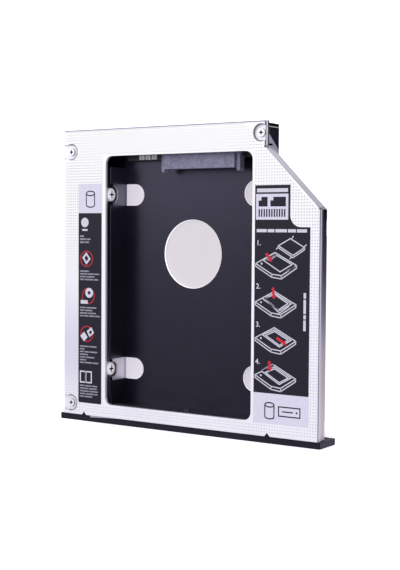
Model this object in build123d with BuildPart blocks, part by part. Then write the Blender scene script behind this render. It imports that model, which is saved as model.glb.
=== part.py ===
# Laptop drive caddy
# A slim tray that takes the place of a laptop's optical drive and carries a 2.5-inch drive.
# +Z is up, through the window. The bezel is at -Y, the host plug at +Y, the thin wing at +X.
# The origin is under the middle of the whole caddy, on the plane that it lies on.

import os
from build123d import *

os.makedirs("parts", exist_ok=True)

# Envelope of the slim optical bay
BODY_WIDTH = 128.4
BODY_DEPTH = 126.1
BODY_HEIGHT = 12.4
WING_WIDTH = 24.5
WING_HEIGHT = 8.0
REAR_CORNER_LENGTH = 10.4
CHAMFER_ALONG = 24.7

# Sheet metal
TRAY_SHEET = 0.7
COVER_SHEET = 0.6
RAIL_SHEET = 0.7
COVER_CLEARANCE = 0.1
FLANGE_HEIGHT = 2.5
TRAY_BEND = 1.0
COVER_BEND = 0.5
RELIEF_WIDTH = 0.8
RELIEF_DEPTH = 0.2

# Bezel
BEZEL_RISE = 0.3
BEZEL_THICKNESS = 2.75
BEZEL_OVERHANG = 1.3
BEZEL_WALL = 1.4
BEZEL_EDGE = 0.4
BEZEL_RIB_COUNT = 6
BEZEL_RIB = 1.0
CLIP_WIDTH = 5.0
CLIP_REACH = 4.6
CLIP_THICKNESS = 1.2
CLIP_DROP = 3.0
CLIP_CLEARANCE = 0.2
NOSE_FROM_LEFT = 11.7
NOSE_FROM_STEP = 1.7
NOSE_WIDTH = 2.4
NOSE_DEPTH = 1.5
NOSE_CLEARANCE = 0.1
SLIVER_START = 14.5
SLIVER_LENGTH = 18.5
SLIVER_DEPTH = 0.9

# Window in the cover
WINDOW_LEFT = 23.5
WINDOW_FROM_STEP = 6.0
WINDOW_FRONT = 5.6
WINDOW_REAR = 11.9
WINDOW_RADIUS = 3.4
WINDOW_LIP = 1.4

# Bay for a 2.5-inch drive, 72 wide, with the drive's side holes 76.6 apart
BAY_LEFT_LEDGE = 2.07
BAY_RIGHT_LEDGE = 0.33
DRIVE_HOLE_FROM_END = 14.1
DRIVE_END_GAP = 14.4
DRIVE_HOLE_FROM_FRONT = 21.0
DRIVE_AXIS_DROP = 4.4

# Rails
RAIL_WIDTH = 4.4
RAIL_TOP_DROP = 1.75
RAIL_FRONT_GAP = 3.0
RAIL_REAR_GAP = 16.6
NOTCH_WIDTH = 6.6
NOTCH_DROP = 6.2
NOTCH_CORNER = 1.5
COLLAR_RADIUS = 2.2
COLLAR_LENGTH = 1.4
FRONT_RAIL_GAP = 5.2
FRONT_RAIL_FOOT = 3.6
LUG_WIDTH = 2.3
LUG_REACH = 1.3
LUG_FROM_BAY_LEFT = 40.0

# Holes in the bay's floor
ROUND_HOLE_RADIUS = 14.5
ROUND_HOLE_FROM_FRONT = 72.1
LEFT_SLOT_WIDTH = 9.4
RIGHT_SLOT_WIDTH = 11.0
SLOT_REACH = 10.4
SLOT_EDGE = 0.3

# Liner
LINER_THICKNESS = 0.25
LINER_PROUD = 1.0
LINER_MARGIN = 0.2
LINER_UNDER_BOARD = 3.7

# Stop screws, M3 pan head
STOP_HEAD_RADIUS = 2.9
STOP_HEAD_HEIGHT = 1.7
STOP_HEAD_SETBACK = 2.0
STOP_HEAD_DOME = 0.6
STOP_SHANK_RADIUS = 1.45
STOP_SHANK_LENGTH = 3.2
CROSS_WIDTH = 0.7
CROSS_DEPTH = 0.8
FIT = 0.03

# Cover screws, small cross-head, in D recesses
RECESS_RADIUS = 3.2
RECESS_DEPTH = 0.7
COVER_SCREW_HEAD_RADIUS = 1.8
COVER_SCREW_HEAD_HEIGHT = 0.6
COVER_SCREW_SHANK_RADIUS = 0.9
COVER_SCREW_LENGTH = 2.4
COVER_SCREW_CROSS = 1.1
COVER_HOLE_CLEARANCE = 0.15
LUG_COLLAR_RADIUS = 1.7
LUG_COLLAR_LENGTH = 1.0
REAR_RIGHT_SCREW_INSET = 2.35
REAR_RIGHT_SCREW_FROM_REAR = 4.8
REAR_LEFT_SCREW_INSET = 4.2
REAR_LEFT_SCREW_FROM_REAR = 9.6
FRONT_LEFT_SCREW_FROM_FRONT = 4.9

# Adapter board
BOARD_THICKNESS = 1.0
BOARD_DROP = 7.8
BOARD_FROM_STEP = 9.4
BOARD_LENGTH = 65.0
BOARD_REAR_GAP = 1.5
BOARD_DEPTH = 12.3
STANDOFF_RADIUS = 1.9
STANDOFF_INSET = 2.9
STANDOFF_FROM_REAR = 4.2
BOARD_HOLE_RADIUS = 1.1
BOARD_SCREW_HEAD_RADIUS = 1.75
BOARD_SCREW_HEAD_HEIGHT = 1.2
BOARD_SCREW_SHANK_RADIUS = 0.95
BOARD_SCREW_END_GAP = 0.7
CAPACITOR_LENGTH = 1.9
CAPACITOR_WIDTH = 2.3
CAPACITOR_HEIGHT = 0.9
CAPACITOR_PITCH = 3.3
CAPACITOR_COUNT = 3
CAPACITOR_FROM_POST = 4.8
CAPACITOR_FROM_BOARD_FRONT = 0.25

# Drive receptacle
CONTACT_PITCH = 1.27
SIGNAL_COUNT = 7
POWER_COUNT = 15
RECEPTACLE_WIDTH = 35.0
RECEPTACLE_HEIGHT = 4.8
RECEPTACLE_DEPTH = 7.3
RECEPTACLE_FROM_BAY_RIGHT = 10.25
RECEPTACLE_OVERHANG = 4.3
RECEPTACLE_BACK = 1.6
TONGUE_HEIGHT = 1.5
TONGUE_LIFT = 1.4
TONGUE_MARGIN = 0.85
KEY_WIDTH = 1.1
KEY_HEIGHT = 1.1
SEGMENT_GAP = 3.3
SEGMENT_EDGE = 1.2
POST_GAP = 0.4
POST_WIDTH = 1.6
POST_HEIGHT = 3.6
POST_PROUD = 1.4
POST_TIP = 1.0
CONTACT_WIDTH = 0.5
CONTACT_THICKNESS = 0.2
CONTACT_SETBACK = 0.5
TAIL_REACH = 0.8
LOCK_WIDTH = 2.0
LOCK_THICKNESS = 0.3
LOCK_RISE = 2.4
LOCK_TAIL = 0.6

# Host plug, slim 13-way
HOST_POWER_COUNT = 6
HOST_WIDTH = 24.4
HOST_HEIGHT = 4.6
HOST_DEPTH = 7.4
HOST_WALL = 0.8
HOST_BACK = 1.8
HOST_BLADE_HEIGHT = 1.2
HOST_BLADE_GAP = 1.6
HOST_BLADE_MARGIN = 0.8
HOST_BLADE_SETBACK = 0.6
HOST_FROM_BOARD_LEFT = 5.8
HOST_OPENING_CLEARANCE = 0.3

# Rear bracket holes, M2
BRACKET_HOLE_RADIUS = 0.8
BRACKET_HOLE_PITCH = 20.0
BRACKET_HOLE_HEIGHT = 7.6
BRACKET_FROM_STEP = 12.0
BRACKET_COLLAR_RADIUS = 1.6
BRACKET_COLLAR_LENGTH = 0.7

# Rivets
RIVET_RADIUS = 1.0
RIVET_HEAD_RADIUS = 1.4
RIVET_HEAD_HEIGHT = 0.5

# Notches in the wing's lower corner
WING_NOTCH_LENGTH = 6.0
WING_NOTCH_RISE = 1.0
WING_NOTCH_FROM_FRONT = 1.0
WING_NOTCH_FROM_CHAMFER = 4.5

# How far a cut runs past the face that it opens
PAST = 1.0

# Labels
LABEL_THICKNESS = 0.1
RIGHT_LABEL_GAP = 1.3
RIGHT_LABEL_WIDTH = 25.1
RIGHT_LABEL_NECK = 16.1
RIGHT_LABEL_FRONT = 5.4
RIGHT_LABEL_SHOULDER = 42.3
RIGHT_LABEL_REAR = 25.7
RIGHT_LABEL_SCOOP = 4.8
LEFT_LABEL_GAP = 2.0
LEFT_LABEL_WIDTH = 13.0
LEFT_LABEL_FRONT = 5.4
LEFT_LABEL_REAR = 23.7
LABEL_CORNER = 0.8

# Places that follow from the sizes above
LEFT = -BODY_WIDTH / 2
RIGHT = BODY_WIDTH / 2
STEP = RIGHT - WING_WIDTH
REAR = (BODY_DEPTH + BEZEL_THICKNESS) / 2
FRONT = REAR - BODY_DEPTH
CHAMFER_REAR = REAR - REAR_CORNER_LENGTH
CHAMFER_FRONT = CHAMFER_REAR - CHAMFER_ALONG

COVER_UNDER = BODY_HEIGHT - COVER_SHEET
TRAY_INSET = COVER_SHEET + COVER_CLEARANCE
WING_FLOOR = BODY_HEIGHT - WING_HEIGHT
TRAY_LEFT_INNER = LEFT + TRAY_INSET + TRAY_SHEET
TRAY_STEP = STEP - TRAY_INSET
TRAY_STEP_INNER = TRAY_STEP - TRAY_SHEET

WINDOW_X0 = LEFT + WINDOW_LEFT
WINDOW_X1 = STEP - WINDOW_FROM_STEP
WINDOW_WIDTH = WINDOW_X1 - WINDOW_X0
WINDOW_LENGTH = BODY_DEPTH - WINDOW_FRONT - WINDOW_REAR
WINDOW_X = (WINDOW_X0 + WINDOW_X1) / 2
WINDOW_Y = FRONT + WINDOW_FRONT + WINDOW_LENGTH / 2
BAY_LEFT = WINDOW_X0 + BAY_LEFT_LEDGE
BAY_RIGHT = WINDOW_X1 - BAY_RIGHT_LEDGE
BAY_X = (BAY_LEFT + BAY_RIGHT) / 2
RAIL_TOP = BODY_HEIGHT - RAIL_TOP_DROP
RAIL_FRONT_Y = FRONT + RAIL_FRONT_GAP
RAIL_REAR_Y = REAR - RAIL_REAR_GAP
FRONT_WALL_Y = FRONT + FRONT_RAIL_GAP + RAIL_SHEET

DRIVE_REAR_HOLE_Y = REAR - DRIVE_END_GAP - DRIVE_HOLE_FROM_END
DRIVE_HOLE_YS = (FRONT + DRIVE_HOLE_FROM_FRONT, DRIVE_REAR_HOLE_Y)
DRIVE_AXIS_Z = BODY_HEIGHT - DRIVE_AXIS_DROP
ROUND_HOLE_Y = FRONT + ROUND_HOLE_FROM_FRONT

SCREW_SPOTS = (
    (STEP - REAR_RIGHT_SCREW_INSET, REAR - REAR_RIGHT_SCREW_FROM_REAR, 1),
    (LEFT + REAR_LEFT_SCREW_INSET, REAR - REAR_LEFT_SCREW_FROM_REAR, -1),
    (LEFT + REAR_LEFT_SCREW_INSET, FRONT + FRONT_LEFT_SCREW_FROM_FRONT, -1),
)
SCREW_EDGES = {1: STEP, -1: LEFT}
RECESS_FLOOR = BODY_HEIGHT - RECESS_DEPTH
BEZEL_HEIGHT = BODY_HEIGHT + BEZEL_RISE

NOSE_XS = (LEFT + NOSE_FROM_LEFT, STEP + NOSE_FROM_STEP)
CLIP_TOP = COVER_UNDER - CLIP_DROP

BOARD_X1 = STEP - BOARD_FROM_STEP
BOARD_X0 = BOARD_X1 - BOARD_LENGTH
BOARD_Y1 = REAR - BOARD_REAR_GAP
BOARD_Y0 = BOARD_Y1 - BOARD_DEPTH
BOARD_TOP = BODY_HEIGHT - BOARD_DROP
BOARD_UNDER = BOARD_TOP - BOARD_THICKNESS
STANDOFF_SPOTS = (
    (BOARD_X0 + STANDOFF_INSET, BOARD_Y1 - STANDOFF_FROM_REAR),
    (BOARD_X1 - STANDOFF_INSET, BOARD_Y1 - STANDOFF_FROM_REAR),
)

RECEPTACLE_X1 = BAY_RIGHT - RECEPTACLE_FROM_BAY_RIGHT
RECEPTACLE_X0 = RECEPTACLE_X1 - RECEPTACLE_WIDTH
RECEPTACLE_Y0 = BOARD_Y0 - RECEPTACLE_OVERHANG
RECEPTACLE_Y1 = RECEPTACLE_Y0 + RECEPTACLE_DEPTH
TONGUE_Z = BOARD_TOP + TONGUE_LIFT
SIGNAL_X0 = RECEPTACLE_X0 + SEGMENT_EDGE + TONGUE_MARGIN
POWER_X0 = SIGNAL_X0 + SIGNAL_COUNT * CONTACT_PITCH + SEGMENT_GAP
SEGMENTS = ((SIGNAL_X0, SIGNAL_COUNT), (POWER_X0, POWER_COUNT))
POST_XS = (RECEPTACLE_X0 - POST_GAP - POST_WIDTH, RECEPTACLE_X1 + POST_GAP)
RECEPTACLE_LOCK_XS = (POST_XS[0] - LOCK_THICKNESS, POST_XS[1] + POST_WIDTH)
RECEPTACLE_LOCK_Y = (BOARD_Y0 + RECEPTACLE_Y1) / 2

HOST_X0 = BOARD_X0 + HOST_FROM_BOARD_LEFT
HOST_X1 = HOST_X0 + HOST_WIDTH
HOST_Y0 = REAR - HOST_DEPTH
HOST_BLADE_Z = BOARD_TOP + (HOST_HEIGHT - HOST_BLADE_HEIGHT) / 2
HOST_BLADE_WIDTHS = (
    SIGNAL_COUNT * CONTACT_PITCH + HOST_BLADE_MARGIN / 2,
    HOST_POWER_COUNT * CONTACT_PITCH + HOST_BLADE_MARGIN / 2,
)
HOST_BLADES_WIDTH = sum(HOST_BLADE_WIDTHS) + HOST_BLADE_GAP
HOST_BLADE_X0 = (HOST_X0 + HOST_X1 - HOST_BLADES_WIDTH) / 2
HOST_BLADE_STARTS = (HOST_BLADE_X0, HOST_BLADE_X0 + HOST_BLADE_WIDTHS[0] + HOST_BLADE_GAP)
HOST_LOCK_XS = (HOST_X0 - LOCK_THICKNESS, HOST_X1)
HOST_LOCK_Y = (HOST_Y0 + BOARD_Y1) / 2

WING_NOTCH_YS = (
    FRONT + WING_NOTCH_FROM_FRONT,
    CHAMFER_FRONT - WING_NOTCH_FROM_CHAMFER - WING_NOTCH_LENGTH,
)
BRACKET_XS = (STEP - BRACKET_FROM_STEP - BRACKET_HOLE_PITCH, STEP - BRACKET_FROM_STEP)

RAIL_SIDES = ((BAY_LEFT, -1), (BAY_RIGHT, 1))
RIVET_INSET = RAIL_WIDTH / 2
RIVET_YS = (
    RAIL_FRONT_Y + RIVET_INSET,
    (RAIL_FRONT_Y + RAIL_REAR_Y) / 2,
    RAIL_REAR_Y - RIVET_INSET,
)
FRONT_RIVET_Y = FRONT_WALL_Y - RAIL_SHEET - FRONT_RAIL_FOOT / 2


def box_between(x0, x1, y0, y1, z0, z1, mode=Mode.ADD):
    """Block between two corners, added to or cut from the part being built."""
    with Locations(((x0 + x1) / 2, (y0 + y1) / 2, (z0 + z1) / 2)):
        Box(abs(x1 - x0), abs(y1 - y0), abs(z1 - z0), mode=mode)


def outline_points(front):
    """Corners of the body seen from above, with its front edge at a given place."""
    return [
        (LEFT, front),
        (RIGHT, front),
        (RIGHT, CHAMFER_FRONT),
        (STEP, CHAMFER_REAR),
        (STEP, REAR),
        (LEFT, REAR),
    ]


def outline_face(front, inset):
    """The body's outline drawn in by an even inset, as a face."""
    with BuildSketch(mode=Mode.PRIVATE) as face:
        with BuildLine():
            Polyline(*outline_points(front), close=True)
        make_face()
        if inset > 0:
            offset(amount=-inset, kind=Kind.INTERSECTION)
    return face.sketch


def slot_sketch(wall_x, side, width):
    """Floor slot beside a rail: straight at the rail, round towards the middle of the bay."""
    straight = SLOT_REACH - width / 2
    centre_x = wall_x - side * straight
    near_x = wall_x - side * SLOT_EDGE
    for y in DRIVE_HOLE_YS:
        with Locations((centre_x, y)):
            Circle(width / 2)
        with Locations(((centre_x + near_x) / 2, y)):
            Rectangle(abs(near_x - centre_x), width)


# Cover: one folded sheet, with the window's drawn lip and three drawn recesses
with BuildPart() as top_cover:
    with BuildSketch(Plane.XY.offset(BODY_HEIGHT - FLANGE_HEIGHT)):
        add(outline_face(FRONT, 0))
    extrude(amount=FLANGE_HEIGHT)
    top_edges = top_cover.edges().group_by(Axis.Z)[-1]
    fillet([e for e in top_edges if e.center().Y > FRONT + 0.01], radius=COVER_BEND)
    with BuildSketch(Plane.XY.offset(BODY_HEIGHT - FLANGE_HEIGHT)):
        add(outline_face(FRONT - COVER_SHEET, COVER_SHEET))
    extrude(amount=FLANGE_HEIGHT - COVER_SHEET, mode=Mode.SUBTRACT)
    # Lip round the window, drawn down from the sheet
    with BuildSketch(Plane.XY.offset(BODY_HEIGHT - WINDOW_LIP)):
        with Locations((WINDOW_X, WINDOW_Y)):
            RectangleRounded(
                WINDOW_WIDTH + 2 * COVER_SHEET,
                WINDOW_LENGTH + 2 * COVER_SHEET,
                WINDOW_RADIUS + COVER_SHEET,
            )
    extrude(amount=WINDOW_LIP - COVER_SHEET)
    with BuildSketch(Plane.XY.offset(BODY_HEIGHT - WINDOW_LIP)):
        with Locations((WINDOW_X, WINDOW_Y)):
            RectangleRounded(WINDOW_WIDTH, WINDOW_LENGTH, WINDOW_RADIUS)
    extrude(amount=WINDOW_LIP, mode=Mode.SUBTRACT)
    # D recesses that run out through the nearest side
    for x, y, side in SCREW_SPOTS:
        edge = SCREW_EDGES[side]
        inner_edge = edge - side * COVER_SHEET
        under_radius = RECESS_RADIUS + COVER_SHEET
        with BuildSketch(Plane.XY.offset(RECESS_FLOOR - COVER_SHEET)):
            with Locations((x, y)):
                Circle(under_radius)
            with Locations(((x + inner_edge) / 2, y)):
                Rectangle(abs(inner_edge - x), 2 * under_radius)
            with Locations((inner_edge + side * under_radius, y)):
                Rectangle(2 * under_radius, 2 * (under_radius + PAST), mode=Mode.SUBTRACT)
        extrude(amount=RECESS_DEPTH)
        with BuildSketch(Plane.XY.offset(RECESS_FLOOR)):
            with Locations((x, y)):
                Circle(RECESS_RADIUS)
            with Locations(((x + edge + side * PAST) / 2, y)):
                Rectangle(abs(edge - x) + PAST, 2 * RECESS_RADIUS)
        extrude(amount=RECESS_DEPTH, mode=Mode.SUBTRACT)
        with Locations((x, y, RECESS_FLOOR)):
            Hole(COVER_SCREW_SHANK_RADIUS + COVER_HOLE_CLEARANCE, depth=2 * COVER_SHEET)
    # Reliefs between the flanges at the wing's two corners
    for x, y in ((RIGHT, CHAMFER_FRONT), (STEP, CHAMFER_REAR)):
        box_between(
            x - RELIEF_DEPTH - COVER_SHEET, x + RELIEF_WIDTH,
            y - RELIEF_WIDTH / 2, y + RELIEF_WIDTH / 2,
            BODY_HEIGHT - FLANGE_HEIGHT, BODY_HEIGHT, Mode.SUBTRACT,
        )
    # Three-cornered notches in the front edge for the bezel's noses
    with BuildSketch(Plane.XY.offset(COVER_UNDER)):
        for x in NOSE_XS:
            with BuildLine():
                Polyline(
                    (x - NOSE_WIDTH / 2, FRONT),
                    (x + NOSE_WIDTH / 2, FRONT),
                    (x, FRONT + NOSE_DEPTH),
                    close=True,
                )
            make_face()
    extrude(amount=COVER_SHEET, mode=Mode.SUBTRACT)
top_cover.part.label = "top_cover"
export_step(top_cover.part, "parts/top_cover.step")

# Tray: one folded sheet with the step under the wing
with BuildPart() as base_tray:
    tray_front = FRONT - TRAY_INSET
    with BuildSketch():
        add(outline_face(tray_front, TRAY_INSET))
    extrude(amount=COVER_UNDER)
    box_between(TRAY_STEP, RIGHT, FRONT - PAST, REAR, 0, WING_FLOOR, Mode.SUBTRACT)
    floor_edges = base_tray.edges().group_by(Axis.Z)[0]
    wing_edges = [
        e for e in base_tray.edges().filter_by(lambda e: abs(e.center().Z - WING_FLOOR) < 0.001)
        if e.center().X > TRAY_STEP + 0.01
    ]
    fillet(list(floor_edges) + wing_edges, radius=TRAY_BEND)
    with BuildSketch(Plane.XY.offset(TRAY_SHEET)):
        add(outline_face(tray_front, TRAY_INSET + TRAY_SHEET))
        with Locations((TRAY_STEP_INNER + BODY_WIDTH / 2, 0)):
            Rectangle(BODY_WIDTH, 2 * BODY_DEPTH, mode=Mode.SUBTRACT)
    extrude(amount=COVER_UNDER, mode=Mode.SUBTRACT)
    with BuildSketch(Plane.XY.offset(WING_FLOOR + TRAY_SHEET)):
        add(outline_face(tray_front, TRAY_INSET + TRAY_SHEET))
    extrude(amount=COVER_UNDER, mode=Mode.SUBTRACT)
    # Round hole and D slots in the bay's floor
    with BuildSketch():
        with Locations((BAY_X, ROUND_HOLE_Y)):
            Circle(ROUND_HOLE_RADIUS)
        slot_sketch(BAY_LEFT, -1, LEFT_SLOT_WIDTH)
        slot_sketch(BAY_RIGHT, 1, RIGHT_SLOT_WIDTH)
    extrude(amount=TRAY_SHEET, mode=Mode.SUBTRACT)
    # Lugs folded in under the cover's recesses, each with a drawn collar
    for x, y, side in SCREW_SPOTS:
        wall = TRAY_STEP_INNER if side > 0 else TRAY_LEFT_INNER
        lug_top = RECESS_FLOOR - COVER_SHEET
        box_between(
            x - side * RECESS_RADIUS, wall, y - RECESS_RADIUS, y + RECESS_RADIUS,
            lug_top - TRAY_SHEET, lug_top,
        )
        with Locations((x, y, lug_top - TRAY_SHEET - LUG_COLLAR_LENGTH / 2)):
            Cylinder(LUG_COLLAR_RADIUS, LUG_COLLAR_LENGTH)
        with Locations((x, y, lug_top)):
            Hole(COVER_SCREW_SHANK_RADIUS + FIT, depth=2 * LUG_COLLAR_LENGTH + TRAY_SHEET)
        # The walls are lower where the recess sinks between them
        room = RECESS_RADIUS + COVER_SHEET + COVER_CLEARANCE
        box_between(
            x - side * room, SCREW_EDGES[side], y - room, y + room,
            lug_top, COVER_UNDER, Mode.SUBTRACT,
        )
    # Opening for the host plug, open at the top
    box_between(
        HOST_X0 - HOST_OPENING_CLEARANCE, HOST_X1 + HOST_OPENING_CLEARANCE,
        REAR - TRAY_INSET - 2 * TRAY_SHEET, REAR + PAST,
        BOARD_TOP - HOST_OPENING_CLEARANCE, COVER_UNDER, Mode.SUBTRACT,
    )
    # Tapped and collared holes in the rear wall for the laptop's fixing bracket
    rear_wall = REAR - TRAY_INSET
    for x in BRACKET_XS:
        with BuildSketch(Plane(origin=(x, rear_wall - TRAY_SHEET, BRACKET_HOLE_HEIGHT), z_dir=(0, -1, 0))):
            Circle(BRACKET_COLLAR_RADIUS)
        extrude(amount=BRACKET_COLLAR_LENGTH)
        with BuildSketch(Plane(origin=(x, rear_wall, BRACKET_HOLE_HEIGHT), z_dir=(0, -1, 0))):
            Circle(BRACKET_HOLE_RADIUS)
        extrude(amount=TRAY_SHEET + BRACKET_COLLAR_LENGTH, mode=Mode.SUBTRACT)
    # Slots in the front wall for the bezel's clips
    for x in NOSE_XS:
        box_between(
            x - CLIP_WIDTH / 2 - CLIP_CLEARANCE, x + CLIP_WIDTH / 2 + CLIP_CLEARANCE,
            FRONT, FRONT + TRAY_SHEET,
            CLIP_TOP - CLIP_THICKNESS - CLIP_CLEARANCE, CLIP_TOP + CLIP_CLEARANCE, Mode.SUBTRACT,
        )
    # Bend reliefs in the walls at the wing's two corners
    relief_low = WING_FLOOR + TRAY_BEND
    for x, y in ((RIGHT, CHAMFER_FRONT), (STEP, CHAMFER_REAR)):
        relief_y = y - TRAY_INSET - RELIEF_WIDTH
        if x == STEP:
            relief_y = y + TRAY_INSET
        box_between(
            x - TRAY_INSET - TRAY_SHEET - RELIEF_DEPTH, x, relief_y, relief_y + RELIEF_WIDTH,
            relief_low, COVER_UNDER, Mode.SUBTRACT,
        )
    # Notches in the wing's lower outer corner
    for y in WING_NOTCH_YS:
        box_between(
            RIGHT - TRAY_INSET - 2 * TRAY_SHEET, RIGHT, y, y + WING_NOTCH_LENGTH,
            WING_FLOOR, WING_FLOOR + WING_NOTCH_RISE, Mode.SUBTRACT,
        )
    # Rivet holes
    for wall_x, side in RAIL_SIDES:
        for y in RIVET_YS:
            with Locations((wall_x + side * RIVET_INSET, y, TRAY_SHEET)):
                Hole(RIVET_RADIUS, depth=2 * TRAY_SHEET)
    with Locations((BAY_X, FRONT_RIVET_Y, TRAY_SHEET)):
        Hole(RIVET_RADIUS, depth=2 * TRAY_SHEET)
base_tray.part.label = "base_tray"
export_step(base_tray.part, "parts/base_tray.step")

# Side rails: channels whose inner wall faces the drive and whose back wall takes the stop screws
for rail_name, (wall_x, side) in zip(("left_rail", "right_rail"), RAIL_SIDES):
    with BuildPart() as rail:
        back_x = wall_x + side * RAIL_WIDTH
        box_between(wall_x, back_x, RAIL_FRONT_Y, RAIL_REAR_Y, TRAY_SHEET, COVER_UNDER)
        inner_low = wall_x + side * RAIL_SHEET
        inner_high = back_x - side * RAIL_SHEET
        box_between(
            inner_low, inner_high, RAIL_FRONT_Y, RAIL_REAR_Y,
            TRAY_SHEET + RAIL_SHEET, COVER_UNDER, Mode.SUBTRACT,
        )
        box_between(wall_x, inner_low, RAIL_FRONT_Y, RAIL_REAR_Y, RAIL_TOP, COVER_UNDER, Mode.SUBTRACT)
        notch_floor = BODY_HEIGHT - NOTCH_DROP
        for y in DRIVE_HOLE_YS:
            # Notch open at the top, with cut corners
            with BuildSketch(Plane.YZ.offset(min(wall_x, inner_low))):
                with BuildLine():
                    Polyline(
                        (y - NOTCH_WIDTH / 2, RAIL_TOP),
                        (y - NOTCH_WIDTH / 2, notch_floor + NOTCH_CORNER),
                        (y - NOTCH_WIDTH / 2 + NOTCH_CORNER, notch_floor),
                        (y + NOTCH_WIDTH / 2 - NOTCH_CORNER, notch_floor),
                        (y + NOTCH_WIDTH / 2, notch_floor + NOTCH_CORNER),
                        (y + NOTCH_WIDTH / 2, RAIL_TOP),
                        close=True,
                    )
                make_face()
            extrude(amount=RAIL_SHEET, mode=Mode.SUBTRACT)
            with BuildSketch(Plane(origin=(back_x, y, DRIVE_AXIS_Z), z_dir=(side, 0, 0))):
                Circle(COLLAR_RADIUS)
            extrude(amount=COLLAR_LENGTH)
            with BuildSketch(Plane(origin=(inner_high, y, DRIVE_AXIS_Z), z_dir=(side, 0, 0))):
                Circle(STOP_SHANK_RADIUS + FIT)
            extrude(amount=RAIL_SHEET + COLLAR_LENGTH, mode=Mode.SUBTRACT)
        for y in RIVET_YS:
            with Locations((wall_x + side * RIVET_INSET, y, TRAY_SHEET + RAIL_SHEET)):
                Hole(RIVET_RADIUS, depth=2 * RAIL_SHEET)
    rail.part.label = rail_name
    export_step(rail.part, f"parts/{rail_name}.step")

# Front rail: a strip with a wall, a foot and a small lug that leans over the drive's end
with BuildPart() as front_rail:
    wall_front = FRONT_WALL_Y - RAIL_SHEET
    box_between(BAY_LEFT, BAY_RIGHT, wall_front, FRONT_WALL_Y, TRAY_SHEET, RAIL_TOP)
    box_between(
        BAY_LEFT, BAY_RIGHT, wall_front - FRONT_RAIL_FOOT, FRONT_WALL_Y,
        TRAY_SHEET, TRAY_SHEET + RAIL_SHEET,
    )
    lug_x = BAY_LEFT + LUG_FROM_BAY_LEFT
    box_between(
        lug_x - LUG_WIDTH / 2, lug_x + LUG_WIDTH / 2, wall_front, FRONT_WALL_Y + LUG_REACH,
        RAIL_TOP - RAIL_SHEET, RAIL_TOP,
    )
    with Locations((BAY_X, FRONT_RIVET_Y, TRAY_SHEET + RAIL_SHEET)):
        Hole(RIVET_RADIUS, depth=2 * RAIL_SHEET)
front_rail.part.label = "front_rail"
export_step(front_rail.part, "parts/front_rail.step")

# Liner: one folded film on the bay's floor and up its walls, a little proud of the rails
with BuildPart() as bay_liner:
    film_rear = RAIL_REAR_Y
    box_between(
        BAY_LEFT, BAY_RIGHT, FRONT_WALL_Y, BOARD_Y0 + LINER_UNDER_BOARD,
        TRAY_SHEET, TRAY_SHEET + LINER_THICKNESS,
    )
    film_top = RAIL_TOP + LINER_PROUD
    film_corner = FRONT + WINDOW_FRONT + WINDOW_RADIUS + LINER_MARGIN
    for wall_x, side in RAIL_SIDES:
        # Lower in front, where the window's round corner passes over the film
        box_between(
            wall_x, wall_x - side * LINER_THICKNESS, FRONT_WALL_Y, film_corner, TRAY_SHEET, RAIL_TOP
        )
        box_between(
            wall_x, wall_x - side * LINER_THICKNESS, film_corner, film_rear, TRAY_SHEET, film_top
        )
    box_between(
        BAY_LEFT, BAY_RIGHT, FRONT_WALL_Y, FRONT_WALL_Y + LINER_THICKNESS, TRAY_SHEET,
        RAIL_TOP - RAIL_SHEET - LINER_MARGIN,
    )
    with BuildSketch(Plane.XY.offset(TRAY_SHEET)):
        with Locations((BAY_X, ROUND_HOLE_Y)):
            Circle(ROUND_HOLE_RADIUS + LINER_MARGIN)
        slot_sketch(BAY_LEFT, -1, LEFT_SLOT_WIDTH)
        slot_sketch(BAY_RIGHT, 1, RIGHT_SLOT_WIDTH)
    extrude(amount=LINER_THICKNESS, mode=Mode.SUBTRACT)
    # The floor slots run on up the walls
    for (wall_x, side), width in zip(RAIL_SIDES, (LEFT_SLOT_WIDTH, RIGHT_SLOT_WIDTH)):
        for y in DRIVE_HOLE_YS:
            box_between(
                wall_x, wall_x - side * SLOT_EDGE, y - width / 2, y + width / 2,
                TRAY_SHEET, film_top, Mode.SUBTRACT,
            )
bay_liner.part.label = "bay_liner"
export_step(bay_liner.part, "parts/bay_liner.step")

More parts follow.
